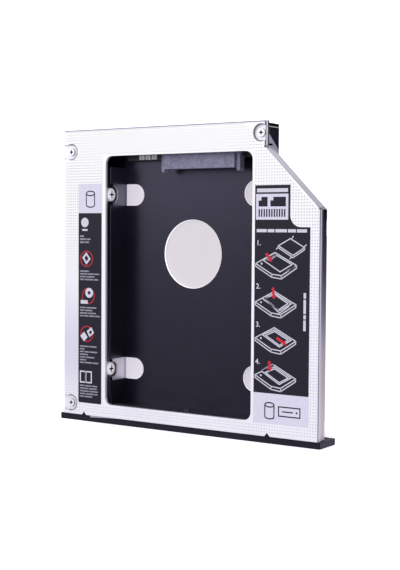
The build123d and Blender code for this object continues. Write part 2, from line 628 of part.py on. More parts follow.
# Bezel: a moulded strip, hollow behind, with two clips and two noses
with BuildPart() as bezel:
    bezel_front = FRONT - BEZEL_THICKNESS
    box_between(
        LEFT - BEZEL_OVERHANG, RIGHT + BEZEL_OVERHANG, bezel_front, FRONT, 0, BEZEL_HEIGHT
    )
    fillet(bezel.edges().filter_by(lambda e: abs(e.center().Y - bezel_front) < 0.001), radius=BEZEL_EDGE)
    inner_left = LEFT - BEZEL_OVERHANG + BEZEL_WALL
    inner_right = RIGHT + BEZEL_OVERHANG - BEZEL_WALL
    bay_step = (inner_right - inner_left - BEZEL_RIB) / (BEZEL_RIB_COUNT + 1)
    for i in range(BEZEL_RIB_COUNT + 1):
        pocket_left = inner_left + BEZEL_RIB + i * bay_step
        box_between(
            pocket_left, pocket_left + bay_step - BEZEL_RIB, bezel_front + BEZEL_WALL, FRONT,
            BEZEL_WALL, BODY_HEIGHT - COVER_SHEET - BEZEL_WALL, Mode.SUBTRACT,
        )
    # Clip arms, each with a hook under its tip, and a nose that fills the cover's notch
    for x in NOSE_XS:
        box_between(
            x - CLIP_WIDTH / 2, x + CLIP_WIDTH / 2, bezel_front + BEZEL_WALL / 2, FRONT + CLIP_REACH,
            CLIP_TOP - CLIP_THICKNESS, CLIP_TOP,
        )
        with BuildSketch(Plane.YZ.offset(x - CLIP_WIDTH / 2)):
            with BuildLine():
                Polyline(
                    (FRONT + TRAY_SHEET + CLIP_CLEARANCE, CLIP_TOP),
                    (FRONT + TRAY_SHEET + CLIP_CLEARANCE, CLIP_TOP + CLIP_THICKNESS / 2),
                    (FRONT + CLIP_REACH, CLIP_TOP),
                    close=True,
                )
            make_face()
        extrude(amount=CLIP_WIDTH)
        with BuildSketch(Plane.XY.offset(COVER_UNDER)):
            with BuildLine():
                Polyline(
                    (x - NOSE_WIDTH / 2 + NOSE_CLEARANCE, FRONT),
                    (x + NOSE_WIDTH / 2 - NOSE_CLEARANCE, FRONT),
                    (x, FRONT + NOSE_DEPTH - NOSE_CLEARANCE),
                    close=True,
                )
            make_face()
        extrude(amount=COVER_SHEET)
    # Shallow draught cut along the top rear edge, where the tray's front shows
    with BuildSketch(Plane.XY.offset(COVER_UNDER)):
        with BuildLine():
            Polyline(
                (LEFT + SLIVER_START, FRONT),
                (LEFT + SLIVER_START, FRONT - SLIVER_DEPTH),
                (LEFT + SLIVER_START + SLIVER_LENGTH, FRONT),
                close=True,
            )
        make_face()
    extrude(amount=BEZEL_HEIGHT - COVER_UNDER, mode=Mode.SUBTRACT)
bezel.part.label = "bezel"
export_step(bezel.part, "parts/bezel.step")

# Stop screws: M3 pan heads that face the bay through the rails' notches
with BuildPart() as stop_screws:
    for wall_x, side in RAIL_SIDES:
        face_x = wall_x + side * STOP_HEAD_SETBACK
        for y in DRIVE_HOLE_YS:
            with BuildSketch(Plane(origin=(face_x, y, DRIVE_AXIS_Z), z_dir=(side, 0, 0))):
                Circle(STOP_HEAD_RADIUS)
            extrude(amount=STOP_HEAD_HEIGHT)
            fillet(
                stop_screws.edges().filter_by(GeomType.CIRCLE).filter_by(
                    lambda e: (e.arc_center - Vector(face_x, y, DRIVE_AXIS_Z)).length < 0.01
                ),
                radius=STOP_HEAD_DOME,
            )
            with BuildSketch(
                Plane(origin=(face_x + side * STOP_HEAD_HEIGHT, y, DRIVE_AXIS_Z), z_dir=(side, 0, 0))
            ):
                Circle(STOP_SHANK_RADIUS)
            extrude(amount=STOP_SHANK_LENGTH)
            with BuildSketch(Plane(origin=(face_x, y, DRIVE_AXIS_Z), z_dir=(side, 0, 0))):
                Rectangle(CROSS_WIDTH, STOP_HEAD_RADIUS)
                Rectangle(STOP_HEAD_RADIUS, CROSS_WIDTH)
            extrude(amount=CROSS_DEPTH, mode=Mode.SUBTRACT)
stop_screws.part.label = "stop_screws"
export_step(stop_screws.part, "parts/stop_screws.step")

# Cover screws
with BuildPart() as cover_screws:
    for x, y, side in SCREW_SPOTS:
        with BuildSketch(Plane.XY.offset(RECESS_FLOOR)):
            with Locations((x, y)):
                Circle(COVER_SCREW_HEAD_RADIUS)
        extrude(amount=COVER_SCREW_HEAD_HEIGHT, taper=12)
        with BuildSketch(Plane.XY.offset(RECESS_FLOOR)):
            with Locations((x, y)):
                Circle(COVER_SCREW_SHANK_RADIUS)
        extrude(amount=-COVER_SCREW_LENGTH)
        with BuildSketch(Plane.XY.offset(RECESS_FLOOR + COVER_SCREW_HEAD_HEIGHT)):
            with Locations((x, y)):
                Rectangle(2 * COVER_SCREW_CROSS, CROSS_WIDTH / 2)
                Rectangle(CROSS_WIDTH / 2, 2 * COVER_SCREW_CROSS)
        extrude(amount=-COVER_SCREW_HEAD_HEIGHT, mode=Mode.SUBTRACT)
cover_screws.part.label = "cover_screws"
export_step(cover_screws.part, "parts/cover_screws.step")

# Rivets through the rails' feet and the tray's floor, flush underneath
with BuildPart() as rail_rivets:
    rivet_spots = [(wall_x + side * RIVET_INSET, y) for wall_x, side in RAIL_SIDES for y in RIVET_YS]
    rivet_spots.append((BAY_X, FRONT_RIVET_Y))
    with BuildSketch():
        with Locations(*rivet_spots):
            Circle(RIVET_RADIUS)
    extrude(amount=TRAY_SHEET + RAIL_SHEET)
    with BuildSketch(Plane.XY.offset(TRAY_SHEET + RAIL_SHEET)):
        with Locations(*rivet_spots):
            Circle(RIVET_HEAD_RADIUS)
    extrude(amount=RIVET_HEAD_HEIGHT, taper=25)
rail_rivets.part.label = "rail_rivets"
export_step(rail_rivets.part, "parts/rail_rivets.step")

# Adapter board
with BuildPart() as circuit_board:
    box_between(BOARD_X0, BOARD_X1, BOARD_Y0, BOARD_Y1, BOARD_UNDER, BOARD_TOP)
    for x, y in STANDOFF_SPOTS:
        with Locations((x, y, BOARD_TOP)):
            Hole(BOARD_HOLE_RADIUS, depth=2 * BOARD_THICKNESS)
    for xs, y in ((RECEPTACLE_LOCK_XS, RECEPTACLE_LOCK_Y), (HOST_LOCK_XS, HOST_LOCK_Y)):
        for x in xs:
            box_between(
                x, x + LOCK_THICKNESS, y - LOCK_WIDTH / 2, y + LOCK_WIDTH / 2,
                BOARD_UNDER, BOARD_TOP, Mode.SUBTRACT,
            )
circuit_board.part.label = "circuit_board"
export_step(circuit_board.part, "parts/circuit_board.step")

# Standoffs under the board
with BuildPart() as board_standoffs:
    with BuildSketch(Plane.XY.offset(TRAY_SHEET)):
        with Locations(*STANDOFF_SPOTS):
            RegularPolygon(STANDOFF_RADIUS, 6)
            Circle(BOARD_SCREW_SHANK_RADIUS + FIT, mode=Mode.SUBTRACT)
    extrude(amount=BOARD_UNDER - TRAY_SHEET)
board_standoffs.part.label = "board_standoffs"
export_step(board_standoffs.part, "parts/board_standoffs.step")

# Board screws
with BuildPart() as board_screws:
    for x, y in STANDOFF_SPOTS:
        with BuildSketch(Plane.XY.offset(BOARD_TOP)):
            with Locations((x, y)):
                Circle(BOARD_SCREW_HEAD_RADIUS)
        extrude(amount=BOARD_SCREW_HEAD_HEIGHT, taper=10)
        with BuildSketch(Plane.XY.offset(BOARD_TOP)):
            with Locations((x, y)):
                Circle(BOARD_SCREW_SHANK_RADIUS)
        extrude(amount=-(BOARD_TOP - TRAY_SHEET - BOARD_SCREW_END_GAP))
        with BuildSketch(Plane.XY.offset(BOARD_TOP + BOARD_SCREW_HEAD_HEIGHT)):
            with Locations((x, y)):
                Rectangle(2 * COVER_SCREW_CROSS, CROSS_WIDTH / 2)
                Rectangle(CROSS_WIDTH / 2, 2 * COVER_SCREW_CROSS)
        extrude(amount=-BOARD_SCREW_HEAD_HEIGHT / 2, mode=Mode.SUBTRACT)
board_screws.part.label = "board_screws"
export_step(board_screws.part, "parts/board_screws.step")

# Small capacitors on the board, left of the receptacle's post
with BuildPart() as board_capacitors:
    for i in range(CAPACITOR_COUNT):
        x1 = POST_XS[0] - CAPACITOR_FROM_POST - i * CAPACITOR_PITCH
        y0 = BOARD_Y0 + CAPACITOR_FROM_BOARD_FRONT
        box_between(
            x1 - CAPACITOR_WIDTH, x1, y0, y0 + CAPACITOR_LENGTH,
            BOARD_TOP, BOARD_TOP + CAPACITOR_HEIGHT,
        )
board_capacitors.part.label = "board_capacitors"
export_step(board_capacitors.part, "parts/board_capacitors.step")

# Drive receptacle: keyed slots for the two segments, between guide posts
with BuildPart() as receptacle_housing:
    receptacle_top = BOARD_TOP + RECEPTACLE_HEIGHT
    box_between(RECEPTACLE_X0, RECEPTACLE_X1, RECEPTACLE_Y0, RECEPTACLE_Y1, BOARD_TOP, receptacle_top)
    cavity_rear = RECEPTACLE_Y1 - RECEPTACLE_BACK
    for x0, count in SEGMENTS:
        x1 = x0 + count * CONTACT_PITCH + TONGUE_MARGIN
        # L-shaped slot: the drive's blade, and the key at its left end
        box_between(x0 - TONGUE_MARGIN, x1, RECEPTACLE_Y0, cavity_rear, TONGUE_Z, TONGUE_Z + TONGUE_HEIGHT,
                    Mode.SUBTRACT)
        box_between(
            x0 - TONGUE_MARGIN, x0 - TONGUE_MARGIN + KEY_WIDTH, RECEPTACLE_Y0, cavity_rear,
            TONGUE_Z + TONGUE_HEIGHT, TONGUE_Z + TONGUE_HEIGHT + KEY_HEIGHT, Mode.SUBTRACT,
        )
        for i in range(count):
            x = x0 + (i + 0.5) * CONTACT_PITCH
            box_between(
                x - CONTACT_WIDTH / 2, x + CONTACT_WIDTH / 2, cavity_rear, RECEPTACLE_Y1,
                TONGUE_Z, TONGUE_Z + CONTACT_THICKNESS, Mode.SUBTRACT,
            )
    # Guide posts, joined to the body behind the board's edge
    for x0 in POST_XS:
        with BuildSketch(Plane.XY.offset(BOARD_TOP)):
            with BuildLine():
                Polyline(
                    (x0, RECEPTACLE_Y1),
                    (x0, RECEPTACLE_Y0 - POST_PROUD + POST_TIP),
                    (x0 + POST_TIP / 2, RECEPTACLE_Y0 - POST_PROUD),
                    (x0 + POST_WIDTH - POST_TIP / 2, RECEPTACLE_Y0 - POST_PROUD),
                    (x0 + POST_WIDTH, RECEPTACLE_Y0 - POST_PROUD + POST_TIP),
                    (x0 + POST_WIDTH, RECEPTACLE_Y1),
                    close=True,
                )
            make_face()
        extrude(amount=POST_HEIGHT)
    box_between(
        POST_XS[0], POST_XS[1] + POST_WIDTH, BOARD_Y0, RECEPTACLE_Y1,
        BOARD_TOP, BOARD_TOP + TONGUE_LIFT,
    )
receptacle_housing.part.label = "receptacle_housing"
export_step(receptacle_housing.part, "parts/receptacle_housing.step")

# Receptacle contacts: a blade in the slot, a drop behind the housing and a foot on the board
for contact_name, (x0, count) in zip(("signal_contacts", "power_contacts"), SEGMENTS):
    with BuildPart() as contacts:
        for i in range(count):
            x = x0 + (i + 0.5) * CONTACT_PITCH
            tail_y = RECEPTACLE_Y1 + CONTACT_THICKNESS
            with BuildSketch(Plane.YZ.offset(x - CONTACT_WIDTH / 2)):
                with BuildLine():
                    Polyline(
                        (RECEPTACLE_Y0 + CONTACT_SETBACK, TONGUE_Z),
                        (RECEPTACLE_Y1, TONGUE_Z),
                        (RECEPTACLE_Y1, BOARD_TOP),
                        (tail_y + TAIL_REACH, BOARD_TOP),
                        (tail_y + TAIL_REACH, BOARD_TOP + CONTACT_THICKNESS),
                        (tail_y, BOARD_TOP + CONTACT_THICKNESS),
                        (tail_y, TONGUE_Z + CONTACT_THICKNESS),
                        (RECEPTACLE_Y0 + CONTACT_SETBACK, TONGUE_Z + CONTACT_THICKNESS),
                        close=True,
                    )
                make_face()
            extrude(amount=CONTACT_WIDTH)
    contacts.part.label = contact_name
    export_step(contacts.part, f"parts/{contact_name}.step")

# Board locks of the receptacle
with BuildPart() as receptacle_board_locks:
    for x in RECEPTACLE_LOCK_XS:
        box_between(
            x, x + LOCK_THICKNESS, RECEPTACLE_LOCK_Y - LOCK_WIDTH / 2, RECEPTACLE_LOCK_Y + LOCK_WIDTH / 2,
            BOARD_UNDER - LOCK_TAIL, BOARD_TOP + LOCK_RISE,
        )
receptacle_board_locks.part.label = "receptacle_board_locks"
export_step(receptacle_board_locks.part, "parts/receptacle_board_locks.step")

# Host plug: a shroud round two blades
with BuildPart() as host_plug_housing:
    box_between(HOST_X0, HOST_X1, HOST_Y0, REAR, BOARD_TOP, BOARD_TOP + HOST_HEIGHT)
    box_between(
        HOST_X0 + HOST_WALL, HOST_X1 - HOST_WALL, HOST_Y0 + HOST_BACK, REAR,
        BOARD_TOP + HOST_WALL, BOARD_TOP + HOST_HEIGHT - HOST_WALL, Mode.SUBTRACT,
    )
    for x0, width, count in zip(HOST_BLADE_STARTS, HOST_BLADE_WIDTHS, (SIGNAL_COUNT, HOST_POWER_COUNT)):
        box_between(
            x0, x0 + width, HOST_Y0 + HOST_BACK, REAR - HOST_BLADE_SETBACK,
            HOST_BLADE_Z, HOST_BLADE_Z + HOST_BLADE_HEIGHT,
        )
        first = x0 + (width - count * CONTACT_PITCH) / 2
        for i in range(count):
            x = first + (i + 0.5) * CONTACT_PITCH
            box_between(
                x - CONTACT_WIDTH / 2, x + CONTACT_WIDTH / 2, HOST_Y0, HOST_Y0 + HOST_BACK,
                HOST_BLADE_Z - CONTACT_THICKNESS, HOST_BLADE_Z, Mode.SUBTRACT,
            )
host_plug_housing.part.label = "host_plug_housing"
export_step(host_plug_housing.part, "parts/host_plug_housing.step")

# Host plug contacts: strips under each blade, with feet on the board in front of the housing
host_groups = zip(
    ("host_signal_contacts", "host_power_contacts"),
    HOST_BLADE_STARTS, HOST_BLADE_WIDTHS, (SIGNAL_COUNT, HOST_POWER_COUNT),
)
for contact_name, x0, width, count in host_groups:
    first = x0 + (width - count * CONTACT_PITCH) / 2
    with BuildPart() as contacts:
        for i in range(count):
            x = first + (i + 0.5) * CONTACT_PITCH
            tail_y = HOST_Y0 - CONTACT_THICKNESS
            with BuildSketch(Plane.YZ.offset(x - CONTACT_WIDTH / 2)):
                with BuildLine():
                    Polyline(
                        (REAR - HOST_BLADE_SETBACK - CONTACT_SETBACK, HOST_BLADE_Z),
                        (tail_y, HOST_BLADE_Z),
                        (tail_y, BOARD_TOP + CONTACT_THICKNESS),
                        (tail_y - TAIL_REACH, BOARD_TOP + CONTACT_THICKNESS),
                        (tail_y - TAIL_REACH, BOARD_TOP),
                        (HOST_Y0, BOARD_TOP),
                        (HOST_Y0, HOST_BLADE_Z - CONTACT_THICKNESS),
                        (REAR - HOST_BLADE_SETBACK - CONTACT_SETBACK, HOST_BLADE_Z - CONTACT_THICKNESS),
                        close=True,
                    )
                make_face()
            extrude(amount=CONTACT_WIDTH)
    contacts.part.label = contact_name
    export_step(contacts.part, f"parts/{contact_name}.step")

# Board locks of the host plug
with BuildPart() as host_plug_board_locks:
    for x in HOST_LOCK_XS:
        box_between(
            x, x + LOCK_THICKNESS, HOST_LOCK_Y - LOCK_WIDTH / 2, HOST_LOCK_Y + LOCK_WIDTH / 2,
            BOARD_UNDER - LOCK_TAIL, BOARD_TOP + LOCK_RISE,
        )
host_plug_board_locks.part.label = "host_plug_board_locks"
export_step(host_plug_board_locks.part, "parts/host_plug_board_locks.step")

# Right label: wide at the front, with a scooped shoulder and a narrower neck
with BuildPart() as right_label:
    x0 = WINDOW_X1 + RIGHT_LABEL_GAP
    y0 = FRONT + RIGHT_LABEL_FRONT
    y1 = REAR - RIGHT_LABEL_REAR
    shoulder_y = REAR - RIGHT_LABEL_SHOULDER
    neck_x = x0 + RIGHT_LABEL_NECK
    with BuildSketch(Plane.XY.offset(BODY_HEIGHT)):
        with BuildLine():
            Polyline(
                (neck_x, shoulder_y + RIGHT_LABEL_SCOOP),
                (neck_x, y1),
                (x0, y1),
                (x0, y0),
                (x0 + RIGHT_LABEL_WIDTH, y0),
                (x0 + RIGHT_LABEL_WIDTH, shoulder_y),
                (neck_x + RIGHT_LABEL_SCOOP, shoulder_y),
            )
            RadiusArc(
                (neck_x + RIGHT_LABEL_SCOOP, shoulder_y),
                (neck_x, shoulder_y + RIGHT_LABEL_SCOOP),
                RIGHT_LABEL_SCOOP,
            )
        make_face()
    extrude(amount=LABEL_THICKNESS)
right_label.part.label = "right_label"
export_step(right_label.part, "parts/right_label.step")

# Left label: a narrow strip with rounded front corners
with BuildPart() as left_label:
    x1 = WINDOW_X0 - LEFT_LABEL_GAP
    box_between(
        x1 - LEFT_LABEL_WIDTH, x1, FRONT + LEFT_LABEL_FRONT, REAR - LEFT_LABEL_REAR,
        BODY_HEIGHT, BODY_HEIGHT + LABEL_THICKNESS,
    )
    fillet(left_label.edges().filter_by(Axis.Z).group_by(Axis.Y)[0], radius=LABEL_CORNER)
left_label.part.label = "left_label"
export_step(left_label.part, "parts/left_label.step")
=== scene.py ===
import math

import bmesh
import bpy
from bpy.props import FloatProperty, FloatVectorProperty, IntProperty, PointerProperty
from mathutils import Matrix, Vector


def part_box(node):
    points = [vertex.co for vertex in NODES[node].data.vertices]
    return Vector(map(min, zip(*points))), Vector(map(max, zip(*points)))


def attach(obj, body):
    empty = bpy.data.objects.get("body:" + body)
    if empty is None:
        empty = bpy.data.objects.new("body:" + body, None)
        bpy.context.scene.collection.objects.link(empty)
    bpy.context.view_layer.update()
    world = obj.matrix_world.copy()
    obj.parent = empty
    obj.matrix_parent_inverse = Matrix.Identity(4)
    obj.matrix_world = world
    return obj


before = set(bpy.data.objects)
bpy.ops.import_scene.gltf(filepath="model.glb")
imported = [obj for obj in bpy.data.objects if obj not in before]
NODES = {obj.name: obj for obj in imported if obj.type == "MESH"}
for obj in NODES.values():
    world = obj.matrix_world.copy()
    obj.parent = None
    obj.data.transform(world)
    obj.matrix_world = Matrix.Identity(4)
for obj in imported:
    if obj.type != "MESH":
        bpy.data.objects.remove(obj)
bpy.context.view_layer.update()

bl_info = {
    "name": "Laptop drive caddy",
    "version": (1, 0, 0),
    "blender": (4, 5, 0),
    "location": "3D View > Sidebar > Drive caddy",
    "description": "Finishes, printed stickers, dotted sheet and studio for a slim drive caddy",
    "category": "Object",
}

MM = 0.001

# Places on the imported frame, in millimetres
COVER_TOP = 12.4
STICKER_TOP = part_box("right_label")[1].z / MM
RIGHT_STICKER = [Vector(c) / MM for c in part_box("right_label")]
LEFT_STICKER = [Vector(c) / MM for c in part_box("left_label")]
COVER_LOW, COVER_HIGH = (Vector(c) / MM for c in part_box("top_cover"))
STEP_X = COVER_HIGH.x - 24.5
CHAMFER_REAR = COVER_HIGH.y - 10.4
CHAMFER_FRONT = CHAMFER_REAR - 24.7
WINDOW = (
    (LEFT_STICKER[1].x + 2.0, COVER_LOW.y + 5.6),
    (RIGHT_STICKER[0].x - 1.3, COVER_HIGH.y - 11.9),
)
RECESSES = (
    (STEP_X - 2.35, COVER_HIGH.y - 4.8),
    (COVER_LOW.x + 4.2, COVER_HIGH.y - 9.6),
    (COVER_LOW.x + 4.2, COVER_LOW.y + 4.9),
)
RECESS_RADIUS = 3.2
# Radii of the tones round the middle of a recess: its edge and rim, and its screw's three steps
EDGE_RADIUS, RIM_RADIUS, SHOULDER_RADIUS, SLOT_RADIUS, CORE_RADIUS = 4.6, 3.65, 2.8, 1.3, 0.6
DOT_LIFT = 0.012

# Areas of painted light and shade, in millimetres: soft edges as ranges, and boxes by two corners
WING_WALL_X = (62.2, 62.4)
WING_BEND_X = (62.0, 63.0)
CHAMFER_Y = (30.0, 53.0)
STEP_WALL_LEFT, STEP_WALL_RIGHT, STEP_WALL_FRONT = (38.6, 38.8), (39.6, 39.8), (50.5, 51.0)
STEP_TRIANGLE, STEP_TRIANGLE_SLOPE = (52.1, 52.9), 0.79
STEP_END_Y, GLINT_FRONT, GLINT_REAR = (61.4, 61.6), (62.0, 62.1), (62.4, 62.5)
STEP_FLANGE_Y, STEP_FLANGE_FOOT = (54.2, 54.4), (11.05, 11.25)
BAY_WALL_X, BAY_WALL_Y = (10.0, 15.0), (-45.0, 40.0)
REAR_LIGHT_TINT_Y, FLANGE_DARK_Y = (-30.0, 50.0), (10.0, 28.0)
STRIP_X, STRIP_REAR, STRIP_FRONT = (-57.0, -53.0), (-30.0, 4.0), (-56.0, -36.0)
FLANGE_TOP, FLANGE_STRIP_FOOT = (11.72, 11.92), (10.85, 11.00)
COVER_BEND_Z, DRAWN_EDGE_Z, RECESS_FLOOR_Z = (12.25, 12.37), (12.26, 12.34), (11.74, 11.80)
HOLE_EDGES = ((-37.0, -48.0, 0.05), (33.0, 44.0, 0.75))
BELOW_BOARD = ((-63.0, 47.7, 0.40), (38.4, 62.8, 10.00))
RAIL_TOPS = ((-45.0, -60.0, 9.80), (40.0, 47.8, 10.80))
LIP_EDGE = ((-41.5, -56.0, 11.50), (-40.0, 52.3, 12.36))
STEP_LINE = ((STEP_X - 0.60, 54.3, 11.60), (STEP_X - 0.12, 64.0, 12.50))
BEZEL_CUT = (
    (COVER_LOW.x + 14.3, COVER_LOW.y - 1.0, 11.0), (COVER_LOW.x + 33.2, COVER_LOW.y + 0.1, 11.9)
)
# The painted reflection on the wing's side, from its front end to its rear end
REFLECTION_Y = (-62.0, 30.0)
REFLECTION = (
    (0.0, "#bfb8be"), (0.10, "#b0a9af"), (0.31, "#a39da3"), (0.58, "#6c6c72"),
    (0.82, "#453f49"), (0.975, "#282733"), (1.0, "#0f0d14"),
)


def linear(hex_colour):
    """sRGB hex colour as linear RGBA."""
    parts = [int(hex_colour[i:i + 2], 16) / 255 for i in (1, 3, 5)]
    return tuple(
        c / 12.92 if c <= 0.04045 else ((c + 0.055) / 1.055) ** 2.4 for c in parts
    ) + (1.0,)


def add_node(tree, kind, settings=None, links=None):
    """One node with its settings and links. A name that is no property of it is a socket, and a
    node as a source stands for its first output."""
    node = tree.nodes.new(kind)
    for key, value in (settings or {}).items():
        if isinstance(key, str) and hasattr(node, key):
            setattr(node, key, value)
        else:
            node.inputs[key].default_value = value
    for key, source in (links or {}).items():
        tree.links.new(getattr(source, "outputs", [source])[0], node.inputs[key])
    return node


def surface(name, hex_colour, metallic=0.0, roughness=0.5, **sockets):
    """A named material with its Principled shader set to plain values."""
    material = bpy.data.materials.new(name)
    material.use_nodes = True
    shader = material.node_tree.nodes["Principled BSDF"]
    shader.inputs["Base Color"].default_value = linear(hex_colour)
    shader.inputs["Metallic"].default_value = metallic
    shader.inputs["Roughness"].default_value = roughness
    for key, value in sockets.items():
        shader.inputs[key.replace("_", " ")].default_value = value
    material.diffuse_color = linear(hex_colour)
    return material, material.node_tree, shader


def feed(node, socket, source):
    """Links an output to one of a node's sockets."""
    node.id_data.links.new(source, node.inputs[socket])


def grain(tree, scale_mm, stretch=(1, 1, 1), detail=3.0):
    """Noise on the row frame's own coordinates, with its grain given in millimetres."""
    place = add_node(tree, "ShaderNodeTexCoord").outputs["Object"]
    mapped = add_node(tree, "ShaderNodeMapping", {"Scale": stretch}, {"Vector": place})
    return add_node(
        tree, "ShaderNodeTexNoise", {"Scale": 1 / (scale_mm * MM), "Detail": detail},
        {"Vector": mapped},
    ).outputs["Fac"]


def place_mm(tree):
    """The place in the row frame, in millimetres."""
    place = add_node(tree, "ShaderNodeTexCoord").outputs["Object"]
    return vector_math(place, "SCALE", "Scale", 1 / MM)["Vector"]


def axes(tree):
    """The three coordinates of the row frame, in millimetres."""
    return add_node(tree, "ShaderNodeSeparateXYZ", links={"Vector": place_mm(tree)}).outputs


def spread(source, low, high, out_low=0, out_high=1):
    """A value moved smoothly from one range to another."""
    return add_node(
        source.id_data, "ShaderNodeMapRange",
        {"interpolation_type": "SMOOTHSTEP", "From Min": low, "From Max": high,
         "To Min": out_low, "To Max": out_high},
        {"Value": source},
    ).outputs["Result"]


def combine(operation, value, *others):
    """A value joined with the others in turn by one operation, or changed by it on its own."""
    tree = next(part for part in (value, *others) if not isinstance(part, (int, float))).id_data
    for other in others or (0.0,):
        node = add_node(tree, "ShaderNodeMath", {"operation": operation})
        for socket, part in zip(node.inputs, (value, other)):
            if isinstance(part, (int, float)):
                socket.default_value = part
            else:
                tree.links.new(part, socket)
        value = node.outputs["Value"]
    return value


def between(source, rise, fall):
    """One between a soft rise and a soft fall, else nought."""
    return combine("MULTIPLY", spread(source, *rise), spread(source, *fall, 1, 0))


def inside_box(tree, box):
    """One inside a box of the row frame, else nought."""
    found = []
    for source, start, end in zip(axes(tree), *box):
        found.append(combine("GREATER_THAN", source, start))
        found.append(combine("LESS_THAN", source, end))
    return combine("MULTIPLY", *found)


def vector_math(source, operation, socket, value):
    """A vector changed by one operation with a plain value."""
    settings = {"operation": operation, socket: value}
    return add_node(source.id_data, "ShaderNodeVectorMath", settings, {0: source}).outputs


def facing(tree, direction):
    """How squarely a surface faces a direction, from minus one to one."""
    normal = add_node(tree, "ShaderNodeNewGeometry").outputs["Normal"]
    return vector_math(normal, "DOT_PRODUCT", 1, direction)["Value"]


def near_recesses(tree, radius, *masks):
    """One within a radius of the middle of any of the cover's recesses, times the masks."""
    flat = vector_math(place_mm(tree), "MULTIPLY", 1, (1, 1, 0))["Vector"]
    found = []
    for x, y in RECESSES:
        gap = vector_math(flat, "DISTANCE", 1, (x, y, 0))["Value"]
        found.append(spread(gap, radius - 0.05, radius + 0.05, 1, 0))
    return combine("MULTIPLY", combine("MAXIMUM", *found), 1.0, *masks)


def blend(factor, first, second):
    """Mix of two colours, each a hex value or an output."""
    tree = factor.id_data
    mix = add_node(tree, "ShaderNodeMix", {"data_type": "RGBA"}, {0: factor})
    for index, value in ((6, first), (7, second)):
        if isinstance(value, str):
            mix.inputs[index].default_value = linear(value)
        else:
            tree.links.new(value, mix.inputs[index])
    return mix.outputs[2]


def bump(shader, height, strength, distance_mm):
    """Fine relief on a shader."""
    settings = {"Strength": strength, "Distance": distance_mm * MM}
    node = add_node(height.id_data, "ShaderNodeBump", settings, {"Height": height})
    feed(shader, "Normal", node.outputs["Normal"])


def mottled(name, hex_colour, tones, grain_mm, stretch=(1, 1, 1), detail=3.0, **sockets):
    """A material whose colour wanders between two tones, with the noise that moves it."""
    material, tree, shader = surface(name, hex_colour, **sockets)
    noise = grain(tree, grain_mm, stretch, detail)
    feed(shader, "Base Color", blend(noise, *tones))
    return material, shader, noise


def wing_reflection(y):
    """Painted reflection along the wing's side: navy at the rear, lavender grey at the front."""
    along = spread(y, *REFLECTION_Y)
    ramp = add_node(y.id_data, "ShaderNodeValToRGB", links={"Fac": along})
    stops = ramp.color_ramp.elements
    for stop, (position, colour) in zip(stops, (REFLECTION[0], REFLECTION[-1])):
        stop.position, stop.color = position, linear(colour)
    for position, colour in REFLECTION[1:-1]:
        stops.new(position).color = linear(colour)
    return ramp.outputs["Color"]


def tone_chamfer(y, tone, front, rear):
    """The chamfer's wall in painted shade, darker than the flat sheet and lighter towards the rear.
    """
    on_chamfer = spread(facing(y.id_data, (0.71, 0.71, 0)), 0.97, 0.99)
    return blend(on_chamfer, tone, blend(spread(y, *CHAMFER_Y), front, rear))


def rolled_aluminium():
    """Bare tray and rail sheet: rolled aluminium, with fine rolling lines along its length.

    The lines are about 0.1 mm apart on the real sheet and are drawn at 0.6 mm, so that they show.
    The outer walls carry a painted soft dark reflection, as a bent bright sheet has at its rear."""
    material, tree, shader = surface(
        "rolled_aluminium", "#c4c0ca", metallic=0.9, roughness=0.4, Specular_IOR_Level=0.0,
    )
    lines = grain(tree, 0.6, stretch=(1, 0.02, 1))
    x, y, z = axes(tree)
    tone = blend(spread(lines, 0.35, 0.65), "#bdb9c3", "#cbc7d1")
    on_wing = spread(x, *WING_WALL_X)
    tone = blend(on_wing, tone, wing_reflection(y))
    # The short step wall behind the wing has painted shade, dark with a lighter triangle of painted
    # reflection towards the wing. At its rear end it is painted black, with a painted glint
    edge = combine("SUBTRACT", y, combine("MULTIPLY", z, STEP_TRIANGLE_SLOPE))
    corner = blend(spread(edge, *STEP_TRIANGLE), "#96939f", "#1b1b24")
    corner = blend(spread(y, *STEP_END_Y), corner, "#050508")
    corner = blend(between(y, GLINT_FRONT, GLINT_REAR), corner, "#a39fa2")
    on_corner = between(x, STEP_WALL_LEFT, STEP_WALL_RIGHT)
    on_corner = combine("MULTIPLY", on_corner, spread(y, *STEP_WALL_FRONT))
    tone = blend(on_corner, tone, corner)
    # Walls inside the bay that face the wing get a painted reflection, darker towards the rear
    toward_wing = spread(facing(tree, (1, 0, 0)), 0.9, 0.95)
    inside = combine("MULTIPLY", toward_wing, spread(x, *BAY_WALL_X, 1, 0))
    shade = blend(spread(y, *BAY_WALL_Y), "#b4afba", "#5e5b67")
    tone = blend(inside, tone, shade)
    tone = tone_chamfer(y, tone, "#938f95", "#a8a4aa")
    # The edges cut through the floor are painted white, and a faint glow stands for the light they
    # catch, a painted highlight. The floor below the board and the rails' top edges are painted
    # black as shade from the board and the cover
    on_edge = inside_box(tree, HOLE_EDGES)
    tone = blend(on_edge, tone, "#ffffff")
    feed(shader, "Emission Color", blend(on_edge, "#000000", "#ffffff"))
    shader.inputs["Emission Strength"].default_value = 0.35
    painted_black_shade = combine("MAXIMUM", inside_box(tree, BELOW_BOARD), inside_box(tree, RAIL_TOPS))
    feed(shader, "Base Color", blend(painted_black_shade, tone, "#121117"))
    plain = combine("MAXIMUM", on_wing, on_corner, on_edge, painted_black_shade)
    feed(shader, "Metallic", spread(plain, 0, 1, 0.9, 0.05))
    feed(shader, "Roughness", spread(lines, 0.3, 0.7, 0.34, 0.48))
    bump(shader, lines, 0.15, 0.02)
    return material


